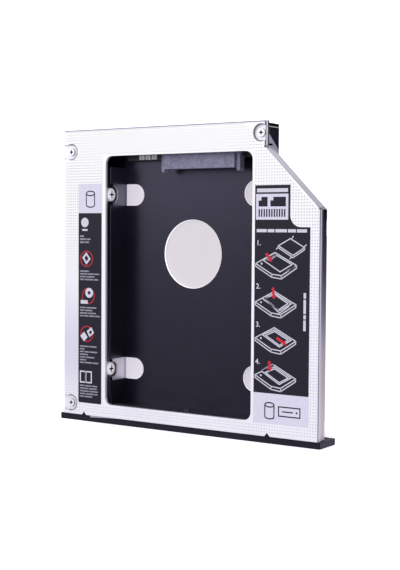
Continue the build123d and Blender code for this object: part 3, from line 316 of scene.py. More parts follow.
def satin_cover_aluminium():
    """Cover sheet: pale satin aluminium, a soft white with a cool cast and no sharp reflection."""
    material, tree, shader = surface(
        "satin_cover_aluminium", "#f1f0f6", metallic=0.35, roughness=0.5
    )
    cloud = grain(tree, 18.0, detail=2.0)
    fine = grain(tree, 0.35, detail=2.0)
    x, y, z = axes(tree)
    tone = blend(spread(cloud, 0.3, 0.7), "#f2f1f6", "#f6f5f9")
    # Painted light: the rear takes the neutral tint of the softbox
    tone = blend(spread(y, *REAR_LIGHT_TINT_Y, 0, 0.8), tone, "#f1f1ed")
    # Painted shade: the strip along its left side dips in brightness towards the front
    far_left = combine(
        "MULTIPLY", spread(x, *STRIP_X, 1, 0), spread(y, *STRIP_REAR, 1, 0),
        spread(y, *STRIP_FRONT, 0.2, 1),
    )
    tone = blend(far_left, tone, "#dddce8")
    # Bends get a painted reflection, darker than the flat sheet
    rear_edge = spread(y, COVER_HIGH.y - 0.64, COVER_HIGH.y - 0.56)
    bends = combine("MAXIMUM", rear_edge, spread(z, *COVER_BEND_Z, 1, 0))
    tone = blend(bends, tone, blend(spread(x, *WING_BEND_X), "#8b8c9b", "#6c6d7b"))
    # The flanges get a painted reflection a little darker than it too. The step's flange is painted
    # black below, a painted dark reflection
    flange = blend(spread(y, *FLANGE_DARK_Y), "#b8b6c3", "#a3a2af")
    flange = blend(spread(z, *FLANGE_STRIP_FOOT), wing_reflection(y), flange)
    flange = tone_chamfer(y, flange, "#9b979e", "#b8b4bb")
    step = blend(spread(z, *STEP_FLANGE_FOOT), "#14141b", "#d6d4de")
    flange = blend(spread(y, *STEP_FLANGE_Y), flange, step)
    tone = blend(spread(z, *FLANGE_TOP, 1, 0), tone, flange)
    # A recess has a bright floor inside a drawn edge in painted dark shade
    off_flange = spread(combine("ABSOLUTE", facing(tree, (1, 0, 0))), 0.95, 0.98, 1, 0)
    in_recess = near_recesses(
        tree, EDGE_RADIUS, spread(z, *DRAWN_EDGE_Z, 1, 0),
        combine("MAXIMUM", off_flange, spread(x, STEP_X - 0.7, STEP_X - 0.5, 1, 0)),
    )
    drawn = blend(spread(z, *RECESS_FLOOR_Z), "#efeef5", "#46444f")
    tone = blend(in_recess, tone, drawn)
    # The window's lip gets painted light, and a painted dark line of shade runs along the step
    tone = blend(inside_box(tree, LIP_EDGE), tone, "#efe7eb")
    tone = blend(inside_box(tree, STEP_LINE), tone, "#6a6874")
    # Painted shade rings each recess on the top surface
    rim = near_recesses(tree, RIM_RADIUS, spread(z, *DRAWN_EDGE_Z, 0, 0.85))
    feed(shader, "Base Color", blend(rim, tone, "#46444f"))
    feed(shader, "Roughness", spread(fine, 0.3, 0.7, 0.44, 0.56))
    bump(shader, fine, 0.1, 0.01)
    return material


def pressed_dot_shade():
    """Bottoms of the small dots pressed into the cover: the same sheet, darker with painted shade
    and duller.

    They show less towards the front and the wing, where the light falls in along them."""
    material, tree, shader = surface("pressed_dot_shade", "#b4b2bf", metallic=0.35, roughness=0.65)
    fine = grain(tree, 0.3, detail=1.0)
    x, y = axes(tree)[:2]
    rear = blend(fine, "#a0a0a9", "#ababb3")
    rear = blend(spread(x, -40.0, 20.0), "#5a5a62", rear)
    front = blend(fine, "#bcbac6", "#c5c3cf")
    front = blend(spread(x, -56.0, -46.0), "#ccc9d6", front)
    feed(shader, "Base Color", blend(spread(y, -20.0, 40.0), front, rear))
    return material


def insulating_film():
    """Bay liner: black polyester film, smooth with a low sheen, a painted sheen paler at the rear.
    """
    material, tree, shader = surface(
        "insulating_film", "#0f0e15", roughness=0.30, IOR=1.52, Specular_Tint=linear("#d6d2f6"),
    )
    cloud = grain(tree, 9.0, detail=2.0)
    fine = grain(tree, 0.25, detail=2.0)
    tone = blend(spread(cloud, 0.3, 0.7), "#0d0c13", "#121118")
    # Painted sheen: paler towards the rear
    tone = blend(spread(axes(tree)[1], 10.0, 45.0), tone, "#1d1b25")
    feed(shader, "Base Color", tone)
    feed(shader, "Roughness", spread(fine, 0.3, 0.7, 0.28, 0.33))
    bump(shader, fine, 0.06, 0.01)
    return material


def painted_steel():
    """Front rail: matt black paint on steel, with a fine orange-peel surface."""
    material, shader, peel = mottled(
        "painted_steel", "#121116", ("#100f13", "#17161b"), 0.4, detail=2.0, roughness=0.55
    )
    bump(shader, peel, 0.2, 0.02)
    return material


def spark_eroded_plastic():
    """Bezel: moulded ABS with a fine spark-eroded texture, which gives a soft dark grey."""
    material, tree, shader = surface(
        "spark_eroded_plastic", "#1a161e", roughness=0.6, Specular_IOR_Level=0.3,
        Specular_Tint=linear("#ddd6ff"),
    )
    texture = grain(tree, 0.35, detail=4.0)
    tone = blend(spread(texture, 0.3, 0.7), "#15121a", "#1b1821")
    # Painted shade darkens its front and its rear edge, and the floor of its shallow cut is
    # painted bright
    front_edge = spread(facing(tree, (0, -1, 0)), 0.15, 0.45)
    rear_edge = spread(axes(tree)[1], COVER_LOW.y - 0.40, COVER_LOW.y - 0.30)
    tone = blend(combine("MAXIMUM", front_edge, rear_edge), tone, "#040308")
    feed(shader, "Base Color", blend(inside_box(tree, BEZEL_CUT), tone, "#d5d1e4"))
    feed(shader, "Roughness", spread(texture, 0.3, 0.7, 0.52, 0.68))
    bump(shader, texture, 0.35, 0.03)
    return material


def glass_filled_nylon():
    """Drive receptacle: grey-violet glass-filled nylon, mottled where the fibres reach the skin."""
    material, tree, shader = surface("glass_filled_nylon", "#74728a", roughness=0.55)
    mottle = grain(tree, 1.1, detail=4.0)
    fibres = grain(tree, 0.25, stretch=(0.25, 1, 1), detail=2.0)
    tone = blend(spread(mottle, 0.35, 0.65), "#69677d", "#7e7e96")
    tone = blend(spread(fibres, 0.55, 0.75, 0, 0.35), tone, "#9a9ab0")
    feed(shader, "Base Color", tone)
    bump(shader, fibres, 0.25, 0.02)
    return material


def black_liquid_crystal_polymer():
    """Host plug: black liquid crystal polymer, slightly glossy with flow streaks across it."""
    material, shader, streaks = mottled(
        "black_liquid_crystal_polymer", "#1b1a1e", ("#161519", "#232227"), 0.8,
        stretch=(0.15, 1, 1), roughness=0.42,
    )
    feed(shader, "Roughness", spread(streaks, 0.3, 0.7, 0.36, 0.5))
    return material


def gold_plating():
    """Contacts: thin gold over nickel, bright and a little uneven in tone."""
    return mottled(
        "gold_plating", "#e2b45e", ("#d3a24c", "#edc677"), 0.7, metallic=1.0, roughness=0.25
    )[0]


def tinned_brass():
    """Board locks: tinned brass, grey and softly reflecting."""
    return mottled(
        "tinned_brass", "#b9b9bb", ("#a8a8ab", "#c9c9ca"), 0.6, metallic=1.0, roughness=0.38
    )[0]


def solder_masked_board():
    """Adapter board: matt black solder mask over straight copper tracks, which show paler."""
    material, tree, shader = surface("solder_masked_board", "#131316", roughness=0.45)
    track_pitch, track_share = 1.27, 0.35
    pitches = combine("MULTIPLY", axes(tree)[0], 1 / track_pitch)
    track = combine("LESS_THAN", combine("FRACT", pitches), track_share)
    tone = blend(grain(tree, 0.5, detail=2.0), "#101013", "#17171b")
    feed(shader, "Base Color", blend(combine("MULTIPLY", track, 0.6), tone, "#2b2b30"))
    return material


def barium_titanate_chip():
    """Board capacitors: pale grey-brown ceramic bodies between bright tinned end caps."""
    material, tree, shader = surface("barium_titanate_chip", "#a9a294", roughness=0.45)
    chip_pitch, chip_middle, cap_start = 3.3, 1.15, (0.62, 0.66)
    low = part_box("board_capacitors")[0]
    from_first = combine("SUBTRACT", axes(tree)[0], low.x / MM)
    along = combine("MODULO", from_first, chip_pitch)
    away = combine("ABSOLUTE", combine("SUBTRACT", along, chip_middle))
    body = blend(grain(tree, 0.3), "#c6c0b3", "#d9d5cc")
    feed(shader, "Base Color", blend(spread(away, *cap_start), body, "#f4f3f0"))
    return material


def nickel_plated_steel():
    """Screws and standoffs: bright nickel on steel, with faint turning marks.

    The cross slots and the middles of the cover screws are painted dark as shade."""
    material, tree, shader = surface(
        "nickel_plated_steel", "#f0eff2", metallic=0.15, roughness=0.25
    )
    marks = grain(tree, 0.8, detail=1.0)
    x, y, z = axes(tree)
    tone = blend(marks, "#edecef", "#f7f6f8")
    # Painted shade darkens each cover screw head's edge
    shoulder = near_recesses(tree, SHOULDER_RADIUS, spread(z, 12.22, 12.28, 1, 0))
    tone = blend(shoulder, tone, "#9b9598")
    slot = near_recesses(tree, SLOT_RADIUS, spread(z, 12.18, 12.24, 1, 0))
    # The stop screws' heads face each other across the bay. A faint glow stands for the light
    # they catch
    low, high = (Vector(corner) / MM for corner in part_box("stop_screws"))
    middle, half = (low + high) / 2, (high - low) / 2
    across, along, up = (
        combine("ABSOLUTE", combine("SUBTRACT", value, centre))
        for value, centre in zip((x, y, z), middle)
    )
    face = half.x - 4.9
    off_axis = combine("ABSOLUTE", combine("SUBTRACT", along, half.y - 2.9))

    def near_axis(mask, reach):
        """The mask where it is within reach of a screw's axis."""
        ends = [spread(gap, reach, reach + 0.1, 1, 0) for gap in (off_axis, up)]
        return combine("MULTIPLY", mask, *ends)

    in_head = near_axis(between(across, (face - 0.1, face), (face + 1.7, face + 1.8)), 3.0)
    deep = spread(across, face + 0.03, face + 0.07)
    in_cross = near_axis(combine("MULTIPLY", in_head, deep), 1.5)
    glow = combine("SUBTRACT", in_head, in_cross)
    feed(shader, "Emission Color", blend(glow, "#000000", "#fbf8ff"))
    shader.inputs["Emission Strength"].default_value = 0.18
    # Painted shade darkens the cross slots, the cover screws' middles and the stop screws' crosses
    slot = combine("MAXIMUM", slot, near_recesses(tree, CORE_RADIUS), in_cross)
    feed(shader, "Base Color", blend(slot, tone, "#241f22"))
    feed(shader, "Roughness", spread(marks, 0.3, 0.7, 0.20, 0.32))
    return material


def aluminium_rivet():
    """Rivets: soft aluminium, dulled where the tool has set them."""
    return mottled(
        "aluminium_rivet", "#b7b5bb", ("#a6a4aa", "#c6c4ca"), 0.4, metallic=1.0, roughness=0.45
    )[0]


def sticker_vinyl():
    """Stickers: lavender vinyl, even and slightly satin, with the faint cloud of screen print."""
    material, shader, cloud = mottled(
        "sticker_vinyl", "#d6d4e3", ("#d2d0e0", "#dad8e7"), 3.0, detail=2.0, roughness=0.5
    )
    bump(shader, grain(cloud.id_data, 0.3, detail=1.0), 0.05, 0.01)
    return material


def screen_ink(name):
    """A flat screen-printed ink with a fine satin grain."""
    low = INKS[name][0]
    return mottled(name, low, INKS[name], 0.5, detail=2.0, roughness=0.5, Specular_IOR_Level=0.2)[0]


# The floor that shows through the holes: its middle, its soft half sizes and its painted shadow
HOLES_MIDDLE, HOLES_X, HOLES_Y, HOLES_SHADE_X = -2.6, (37.0, 39.5), (47.0, 50.0), (-30.0, -24.0)


def pale_floor(settings):
    """Studio floor: pale matt board, clear when seen from below.

    It shows a little brighter to the camera and in reflections. The middle of the caddy's
    footprint shows to the camera through its holes as an even pale grey, a painted shadow."""
    material, tree, shader = surface("pale_floor", "#f4f4f4", roughness=0.9)
    tree.nodes.remove(shader)
    x, y = axes(tree)[:2]
    path = add_node(tree, "ShaderNodeLightPath").outputs
    off_middle = combine("ABSOLUTE", combine("SUBTRACT", x, HOLES_MIDDLE))
    outside = combine(
        "MAXIMUM", spread(off_middle, *HOLES_X), spread(combine("ABSOLUTE", y), *HOLES_Y),
        combine("SUBTRACT", 1.0, path["Is Camera Ray"]),
    )
    # Painted shadow under the caddy, darker towards the left
    board = blend(spread(x, *HOLES_SHADE_X, 1, 0), "#8b858c", "#a39fa7")
    board = blend(outside, board, "#f6f4f7")
    diffuse = add_node(tree, "ShaderNodeBsdfDiffuse", links={"Color": board})
    seen = combine(
        "MAXIMUM", path["Is Glossy Ray"], path["Is Transmission Ray"], path["Is Camera Ray"]
    )
    lift = spread(outside, 0, 1, settings.hole_lift, settings.floor_lift)
    glow = add_node(
        tree, "ShaderNodeEmission", {"Color": linear("#fefaff")},
        {"Strength": combine("MULTIPLY", seen, lift)},
    )
    both = add_node(tree, "ShaderNodeAddShader", links={0: diffuse, 1: glow})
    below = add_node(tree, "ShaderNodeNewGeometry").outputs["Backfacing"]
    clear = add_node(tree, "ShaderNodeBsdfTransparent")
    chosen = add_node(tree, "ShaderNodeMixShader", links={0: below, 1: both, 2: clear})
    feed(tree.nodes["Material Output"], "Surface", chosen.outputs[0])
    return material


INKS = {
    "charcoal_ink": ("#1b1a25", "#1f1e2a"),
    "lavender_ink": ("#d3d1e1", "#d9d7e6"),
    "white_ink": ("#c9c8d2", "#d6d5de"),
    "grey_ink": ("#8b8994", "#96949f"),
    "red_ink": ("#c0263a", "#cb3045"),
    "crimson_ink": ("#a31f33", "#ae2a3f"),
}
MATERIALS = {}


def made_once(maker, *values):
    """The material that a maker gives, made once."""
    key = (maker.__name__,) + values
    if key not in MATERIALS:
        MATERIALS[key] = maker(*values)
    return MATERIALS[key]


def finish_nodes(maker, *names):
    """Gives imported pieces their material."""
    for name in names:
        slots = NODES[name].data.materials
        slots.clear()
        slots.append(made_once(maker))


def make_piece(name, mesh_maker, finish, shift=0.0):
    """A new piece from a mesh maker, in millimetres, moved along X and riding on the one body."""
    bm = bmesh.new()
    mesh_maker(bm)
    bmesh.ops.translate(bm, vec=(shift, 0, 0), verts=bm.verts)
    bmesh.ops.scale(bm, vec=(MM, MM, MM), verts=bm.verts)
    bmesh.ops.recalc_face_normals(bm, faces=bm.faces)
    mesh = bpy.data.meshes.new(name)
    bm.to_mesh(mesh)
    bm.free()
    mesh.materials.append(finish)
    piece = bpy.data.objects.new(name, mesh)
    bpy.context.scene.collection.objects.link(piece)
    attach(piece, "root")


def evaluated_mesh(context, holder):
    """The plain mesh that an object gives. The object itself goes."""
    graph = context.evaluated_depsgraph_get()
    mesh = bpy.data.meshes.new_from_object(holder.evaluated_get(graph), depsgraph=graph)
    bpy.data.objects.remove(holder)
    return mesh


def print_piece(name, mesh_maker, ink):
    """A printed piece of the stickers, in an ink."""
    make_piece(name, mesh_maker, made_once(screen_ink, ink), PRINT_SHIFT)


INK_DEPTH = 0.02
HEAVY_LINE = 0.5
# The print is measured from the wide sticker's left edge, which the drawing puts at 35.2
PRINT_SHIFT = RIGHT_STICKER[0].x - 35.2


def add_plates(bm, level, *outlines):
    """Thin printed plates: flat outlines, lifted to their own ink level on the sticker."""
    base = STICKER_TOP + level * INK_DEPTH
    for outline in outlines:
        lower = [bm.verts.new((x, y, base)) for x, y in outline]
        upper = [bm.verts.new((x, y, base + INK_DEPTH)) for x, y in outline]
        bm.faces.new(lower[::-1])
        bm.faces.new(upper)
        for i, vert in enumerate(lower):
            j = (i + 1) % len(lower)
            bm.faces.new((vert, lower[j], upper[j], upper[i]))


def circle_points(centre, radius, count=28, squash=1.0, start=0.0, turn=2 * math.pi):
    """Points round a circle, or part of it."""
    steps = count if turn >= 2 * math.pi - 1e-6 else count + 1
    return [
        (centre[0] + radius * math.cos(start + turn * i / count),
         centre[1] + radius * squash * math.sin(start + turn * i / count))
        for i in range(steps)
    ]


def add_line(bm, points, width, level, closed=False):
    """A printed line of even width with mitred corners."""
    path = [Vector(p) for p in points]
    count = len(path)
    left, right = [], []
    for i, here in enumerate(path):
        ways = []
        if i or closed:
            ways.append((here - path[i - 1]).normalized())
        if i < count - 1 or closed:
            ways.append((path[(i + 1) % count] - here).normalized())
        normals = [Vector((-way.y, way.x)) for way in ways]
        across = sum(normals, Vector((0, 0))).normalized()
        reach = width / 2 / max(0.4, across.dot(normals[0]))
        left.append(here + across * reach)
        right.append(here - across * reach)
    for i in range(count if closed else count - 1):
        j = (i + 1) % count
        add_plates(bm, level, (right[i], right[j], left[j], left[i]))


def add_words(bm, x, y, height, lengths, level, gap=0.45, upright=False):
    """Plain bars in place of a line of small print: one bar for each word length."""
    for length in lengths:
        if upright:
            bar = corners((x - height, y), (x, y + length))
            y += length + gap
        else:
            bar = corners((x, y), (x + length, y + height))
            x += length + gap
        add_plates(bm, level, bar)


def add_arrow(bm, tail, tip, level, shaft=1.15, head=2.5, head_length=1.55):
    """A short thick arrow."""
    tail, tip = Vector(tail), Vector(tip)
    way = (tip - tail).normalized()
    side = Vector((-way.y, way.x)) / 2
    neck = tip - way * head_length
    add_plates(bm, level, (
        tail + side * shaft, neck + side * shaft, neck + side * head, tip,
        neck - side * head, neck - side * shaft, tail - side * shaft,
    ))


def add_barrel(bm, low, high, width, level, squash=0.42):
    """A storage barrel in outline: an oval lid over a straight body with a rounded foot."""
    middle = (low[0] + high[0]) / 2
    radius = (high[0] - low[0]) / 2
    lid = (middle, high[1] - radius * squash)
    foot = (middle, low[1] + radius * squash)
    add_line(bm, circle_points(lid, radius, squash=squash), width, level, closed=True)
    body = [(low[0], lid[1])]
    body += circle_points(foot, radius, squash=squash, start=math.pi, turn=math.pi)
    add_line(bm, body + [(high[0], lid[1])], width, level)


def corners(low, high):
    """The four corners of an upright rectangle."""
    return [low, (high[0], low[1]), high, (low[0], high[1])]


def shifted(points, centre):
    """Points moved to a centre."""
    return [(centre[0] + x, centre[1] + y) for x, y in points]


def right_sticker_outline(margin, low):
    """The wide sticker's outline with its scooped shoulder, cut off at a lower edge."""
    x0, x1 = RIGHT_STICKER[0].x + margin, RIGHT_STICKER[1].x - margin
    y1 = RIGHT_STICKER[1].y - margin
    neck, shoulder, scoop = RIGHT_STICKER[0].x + 16.1, 22.125, 4.8
    centre = (neck + scoop, shoulder + scoop)
    arc = circle_points(centre, scoop + margin, 12, start=-math.pi / 2, turn=-math.pi / 2)
    return [(x0, low), (x1, low), (x1, shoulder - margin)] + arc + [(neck - margin, y1), (x0, y1)]


# The tray seen from above and to one side, with a chamfered corner, about its own middle
TRAY_TOP = ((-9.3, 0.7), (-0.5, 5.2), (9.2, 0.3), (2.5, -3.9), (-1.9, -3.4))
TRAY_FOOT = ((-9.3, 0.7), (-9.3, -0.4), (-1.9, -4.6), (2.5, -5.2), (9.2, -0.8), (9.2, 0.3))
TRAY_BAY = ((-5.9, 2.1), (-0.3, 4.4), (7.2, 0.6), (1.9, -2.4))
TRAY_HOLE, TRAY_HOLE_RADIUS = (-6.6, 0.7), 0.42
STEPS = ((45.1, 6.8), (45.0, -8.6), (45.1, -23.0), (45.2, -37.9))
NUMERAL_X, NUMERAL_Y, NUMERAL_SIZE, NUMERAL_SWELL = 36.0, (14.8, -2.5, -17.8, -32.7), 2.9, 0.05
# The drive in outline: loose above its bay, with its side and four guide ticks, leaning, and in
LOOSE_AT = (51.5, 14.1)
LOOSE_TOP = ((-5.4, 0.6), (0.0, 3.5), (6.3, 0.0), (1.2, -3.1))
LOOSE_SIDE = ((-5.4, 0.6), (-5.4, -0.2), (1.2, -4.0), (6.3, -0.8), (6.3, 0.0))
TICKS = (
    ((52.2, 17.7), (52.9, 18.6)), ((57.7, 14.5), (58.7, 15.3)),
    ((52.1, 10.4), (51.3, 9.6)), ((46.0, 14.2), (45.1, 13.3)),
)
LEANING_SIDE = ((-5.0, 2.4), (1.9, -3.4), (6.2, -0.4))
LEANING_TOP = ((-5.0, 2.4), (1.2, -2.2), (5.6, 0.6), (-0.2, 3.9))
LAID_TOP = ((-4.4, 1.9), (-0.3, 3.7), (5.9, 0.5), (1.9, -1.7))
ARROWS = (
    ((40.6, 11.6), (43.3, 8.3)), ((43.8, -1.9), (44.4, -6.5)),
    ((45.7, -21.8), (50.2, -24.4)), ((42.4, -31.3), (42.7, -35.5)),
)
# The narrow sticker's rings, and its small print: top, height and word lengths, line by line
RINGS = ((-50.9, 7.7), (-49.9, -8.7), (-50.7, -25.5))
SMALL_PRINT_X, LINE_GAP, WORD_GAP = -54.6, 0.6, 0.4
SMALL_PRINT = (
    (17.3, 0.75, ((2.2,), (3.4, 2.0), (2.4, 2.2))),
    (1.9, 0.62, ((5.0,), (4.2, 3.0, 2.8), (3.2, 4.6), (2.2, 4.8, 2.4))),
    (-14.2, 0.62, ((3.4, 5.4), (2.4, 4.2), (4.2, 4.4), (1.8, 2.6, 3.0, 2.6))),
    (-31.4, 0.6, (
        (5.0, 4.0), (2.6,), (2.2, 2.6, 4.2), (4.6,), (3.0, 4.8), (3.6,), (2.2, 4.4, 3.0),
    )),
    (-48.9, 0.6, ((2.6, 3.4, 3.0), (4.8, 4.4), (5.2, 4.6), (3.2, 4.4, 1.6), (2.4, 4.2))),
)


def add_tray_sketch(bm, centre, width, level):
    """The tray in outline, with its thickness, its bay and the round hole at its left."""
    add_line(bm, shifted(TRAY_TOP, centre), width, level, closed=True)
    add_line(bm, shifted(TRAY_FOOT, centre), width, level)
    for edge in ((TRAY_TOP[3], TRAY_FOOT[3]), (TRAY_TOP[4], TRAY_FOOT[2])):
        add_line(bm, shifted(edge, centre), width, level)
    add_line(bm, shifted(TRAY_BAY, centre), width, level, closed=True)
    hole = shifted((TRAY_HOLE,), centre)[0]
    add_plates(bm, level, circle_points(hole, TRAY_HOLE_RADIUS, 12))


def length(name, description, millimetres):
    """A length as a property, from millimetres."""
    return FloatProperty(
        name=name, description=description, default=millimetres * MM, subtype="DISTANCE"
    )


def amount(name, description, value, low=0):
    """A plain number as a property."""
    return FloatProperty(name=name, description=description, default=value, min=low)


class CADDY_PG_sheet(bpy.types.PropertyGroup):
    """Sizes of the cover's pressed dots."""

    dot_pitch: length("Dot pitch", "Distance between two dots", 1.22)
    dot_radius: length("Dot radius", "Radius of one dot", 0.23)
    edge_margin: length("Edge margin", "Plain strip along the cover's edges", 0.8)
    dot_sides: IntProperty(name="Dot sides", description="Corners of one dot", default=8, min=5)


class CADDY_PG_print(bpy.types.PropertyGroup):
    """Sizes of the print on the stickers."""

    line_width: length("Line width", "Width of the printed outlines", 0.42)
    ring_radius: length("Ring radius", "Radius of the red rings", 3.65)
    ring_width: length("Ring width", "Width of the red rings", 0.6)


class CADDY_PG_studio(bpy.types.PropertyGroup):
    """Light, floor and camera of the studio."""

    sky_front: amount("Sky front", "Light from the front", 0.40)
    sky_rear: amount("Sky rear", "Light from the rear", 1.25)
    box_power: amount("Softbox", "Power of the large softbox", 2.50)
    fill_power: amount("Fill", "Power of the fill light", 1.0)
    floor_lift: amount("Floor lift", "How much brighter the floor shows to the camera", 0.66)
    hole_lift: amount("Hole lift", "The same for the floor below the holes", 0.48)
    lens: amount("Lens", "Focal length in millimetres", 73.149, low=1)
    camera_place: FloatVectorProperty(
        name="Camera", description="Camera's place", default=(0.27221, 0.020735, 0.4113),
        subtype="TRANSLATION", size=3,
    )


class CADDY_OT_metal(bpy.types.Operator):
    """Gives the tray, rails, cover, screws and rivets their metal"""

    bl_idname = "caddy.metal"
    bl_label = "Metal parts"

    def execute(self, context):
        finish_nodes(rolled_aluminium, "base_tray", "left_rail", "right_rail")
        finish_nodes(satin_cover_aluminium, "top_cover")
        finish_nodes(painted_steel, "front_rail")
        finish_nodes(
            nickel_plated_steel, "stop_screws", "cover_screws", "board_screws", "board_standoffs"
        )
        finish_nodes(aluminium_rivet, "rail_rivets")
        return {"FINISHED"}


class CADDY_OT_plastic(bpy.types.Operator):
    """Gives the bezel, the liner and the connectors their plastic"""

    bl_idname = "caddy.plastic"
    bl_label = "Plastic parts"

    def execute(self, context):
        finish_nodes(spark_eroded_plastic, "bezel")
        finish_nodes(insulating_film, "bay_liner")
        finish_nodes(glass_filled_nylon, "receptacle_housing")
        finish_nodes(black_liquid_crystal_polymer, "host_plug_housing")
        return {"FINISHED"}


class CADDY_OT_electronics(bpy.types.Operator):
    """Gives the board, its contacts and its small parts their finishes"""

    bl_idname = "caddy.electronics"
    bl_label = "Board and contacts"

    def execute(self, context):
        finish_nodes(solder_masked_board, "circuit_board")
        finish_nodes(
            gold_plating, "signal_contacts", "power_contacts", "host_signal_contacts",
            "host_power_contacts",
        )
        finish_nodes(tinned_brass, "receptacle_board_locks", "host_plug_board_locks")
        finish_nodes(barium_titanate_chip, "board_capacitors")
        return {"FINISHED"}


def on_plain_sheet(x, y, margin):
    """Whether a point of the cover is on the plain sheet with a margin to spare."""
    in_sheet = (COVER_LOW.x + margin < x < COVER_HIGH.x - margin
                and COVER_LOW.y + margin < y < COVER_HIGH.y - margin)
    if not in_sheet or x > STEP_X - margin and y > CHAMFER_REAR - margin:
        return False
    run = Vector((COVER_HIGH.x - STEP_X, CHAMFER_FRONT - CHAMFER_REAR))
    across = Vector((-run.y, run.x)).normalized()
    if (Vector((x, y)) - Vector((STEP_X, CHAMFER_REAR))).dot(across) > -margin:
        return False
    (wx0, wy0), (wx1, wy1) = WINDOW
    wide_margin = 2.5 * margin
    if wx0 - wide_margin < x < wx1 + margin and wy0 - margin < y < wy1 + margin:
        return False
    reach = RECESS_RADIUS + margin * 0.8
    for rx, ry in RECESSES:
        toward_edge = (x > rx) if rx > 0 else (x < rx)
        if math.hypot(x - rx, y - ry) < reach or toward_edge and abs(y - ry) < reach:
            return False
    return True


class CADDY_OT_dots(bpy.types.Operator):
    """Lays the grid of small dots on the cover as flat discs in the painted shade of pressed dots
    """

    bl_idname = "caddy.dots"
    bl_label = "Dotted sheet"

    def execute(self, context):
        sizes = context.scene.caddy_sheet
        pitch, margin = sizes.dot_pitch / MM, sizes.edge_margin / MM
        columns = int((COVER_HIGH.x - COVER_LOW.x) / pitch)
        rows = int((COVER_HIGH.y - COVER_LOW.y) / pitch)
        grid = [
            (COVER_LOW.x + (i + 0.5) * pitch, COVER_LOW.y + (j + 0.5) * pitch)
            for i in range(columns + 1) for j in range(rows + 1)
        ]
        spots = [
            (x * MM, y * MM, COVER_TOP * MM) for x, y in grid if on_plain_sheet(x, y, margin)
        ]
        mesh = bpy.data.meshes.new("cover_dots")
        mesh.from_pydata(spots, [], [])
        carrier = bpy.data.objects.new("dot_spots", mesh)
        context.scene.collection.objects.link(carrier)

        tree = bpy.data.node_groups.new("pressed_dots", "GeometryNodeTree")
        tree.is_modifier = True
        sockets = {
            name: tree.interface.new_socket(name, in_out=way, socket_type="NodeSocket" + kind)
            for name, way, kind in (
                ("Spots", "INPUT", "Geometry"), ("Dot radius", "INPUT", "Float"),
                ("Dot sides", "INPUT", "Int"), ("Dots", "OUTPUT", "Geometry"),
            )
        }
        given = add_node(tree, "NodeGroupInput")
        disc = add_node(
            tree, "GeometryNodeMeshCircle", {"fill_type": "NGON"},
            {"Vertices": given.outputs["Dot sides"], "Radius": given.outputs["Dot radius"]},
        )
        lift = {"Translation": (0, 0, DOT_LIFT * MM)}
        lifted = add_node(tree, "GeometryNodeTransform", lift, {"Geometry": disc})
        placed = add_node(
            tree, "GeometryNodeInstanceOnPoints",
            links={"Points": given.outputs["Spots"], "Instance": lifted},
        )
        real = add_node(tree, "GeometryNodeRealizeInstances", links={"Geometry": placed})
        add_node(tree, "NodeGroupOutput", links={"Dots": real})

        modifier = carrier.modifiers.new("pressed_dots", "NODES")
        modifier.node_group = tree
        modifier[sockets["Dot radius"].identifier] = sizes.dot_radius
        modifier[sockets["Dot sides"].identifier] = sizes.dot_sides
        plain = evaluated_mesh(context, carrier)
        plain.name = "cover_dots"
        plain.materials.clear()
        plain.materials.append(made_once(pressed_dot_shade))
        piece = bpy.data.objects.new("cover_dots", plain)
        context.scene.collection.objects.link(piece)
        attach(piece, "root")
        return {"FINISHED"}


class CADDY_OT_stickers(bpy.types.Operator):
    """Lays the dark fields on the two lavender stickers"""

    bl_idname = "caddy.stickers"
    bl_label = "Sticker fields"

    def execute(self, context):
        finish_nodes(sticker_vinyl, "right_label", "left_label")
        bare = 0.05

        def right_field(bm):
            add_plates(bm, 0, right_sticker_outline(bare, -44.2))

        def left_field(bm):
            x0, x1 = LEFT_STICKER[0].x + bare, LEFT_STICKER[1].x - bare
            y0, y1, r = LEFT_STICKER[0].y + bare, 27.8, 0.75
            outline = [(x0, y1)]
            for x, start in ((x0 + r, math.pi), (x1 - r, 1.5 * math.pi)):
                outline += circle_points((x, y0 + r), r, 6, start=start, turn=math.pi / 2)
            add_plates(bm, 0, outline + [(x1, y1)])

        def top_panel(bm):
            add_plates(bm, 1, corners((35.7, 25.0), (50.4, 35.2)))

        dark = made_once(screen_ink, "charcoal_ink")
        make_piece("right_sticker_dark_field", right_field, dark)
        make_piece("left_sticker_dark_field", left_field, dark)
        print_piece("right_sticker_top_panel", top_panel, "lavender_ink")
        return {"FINISHED"}


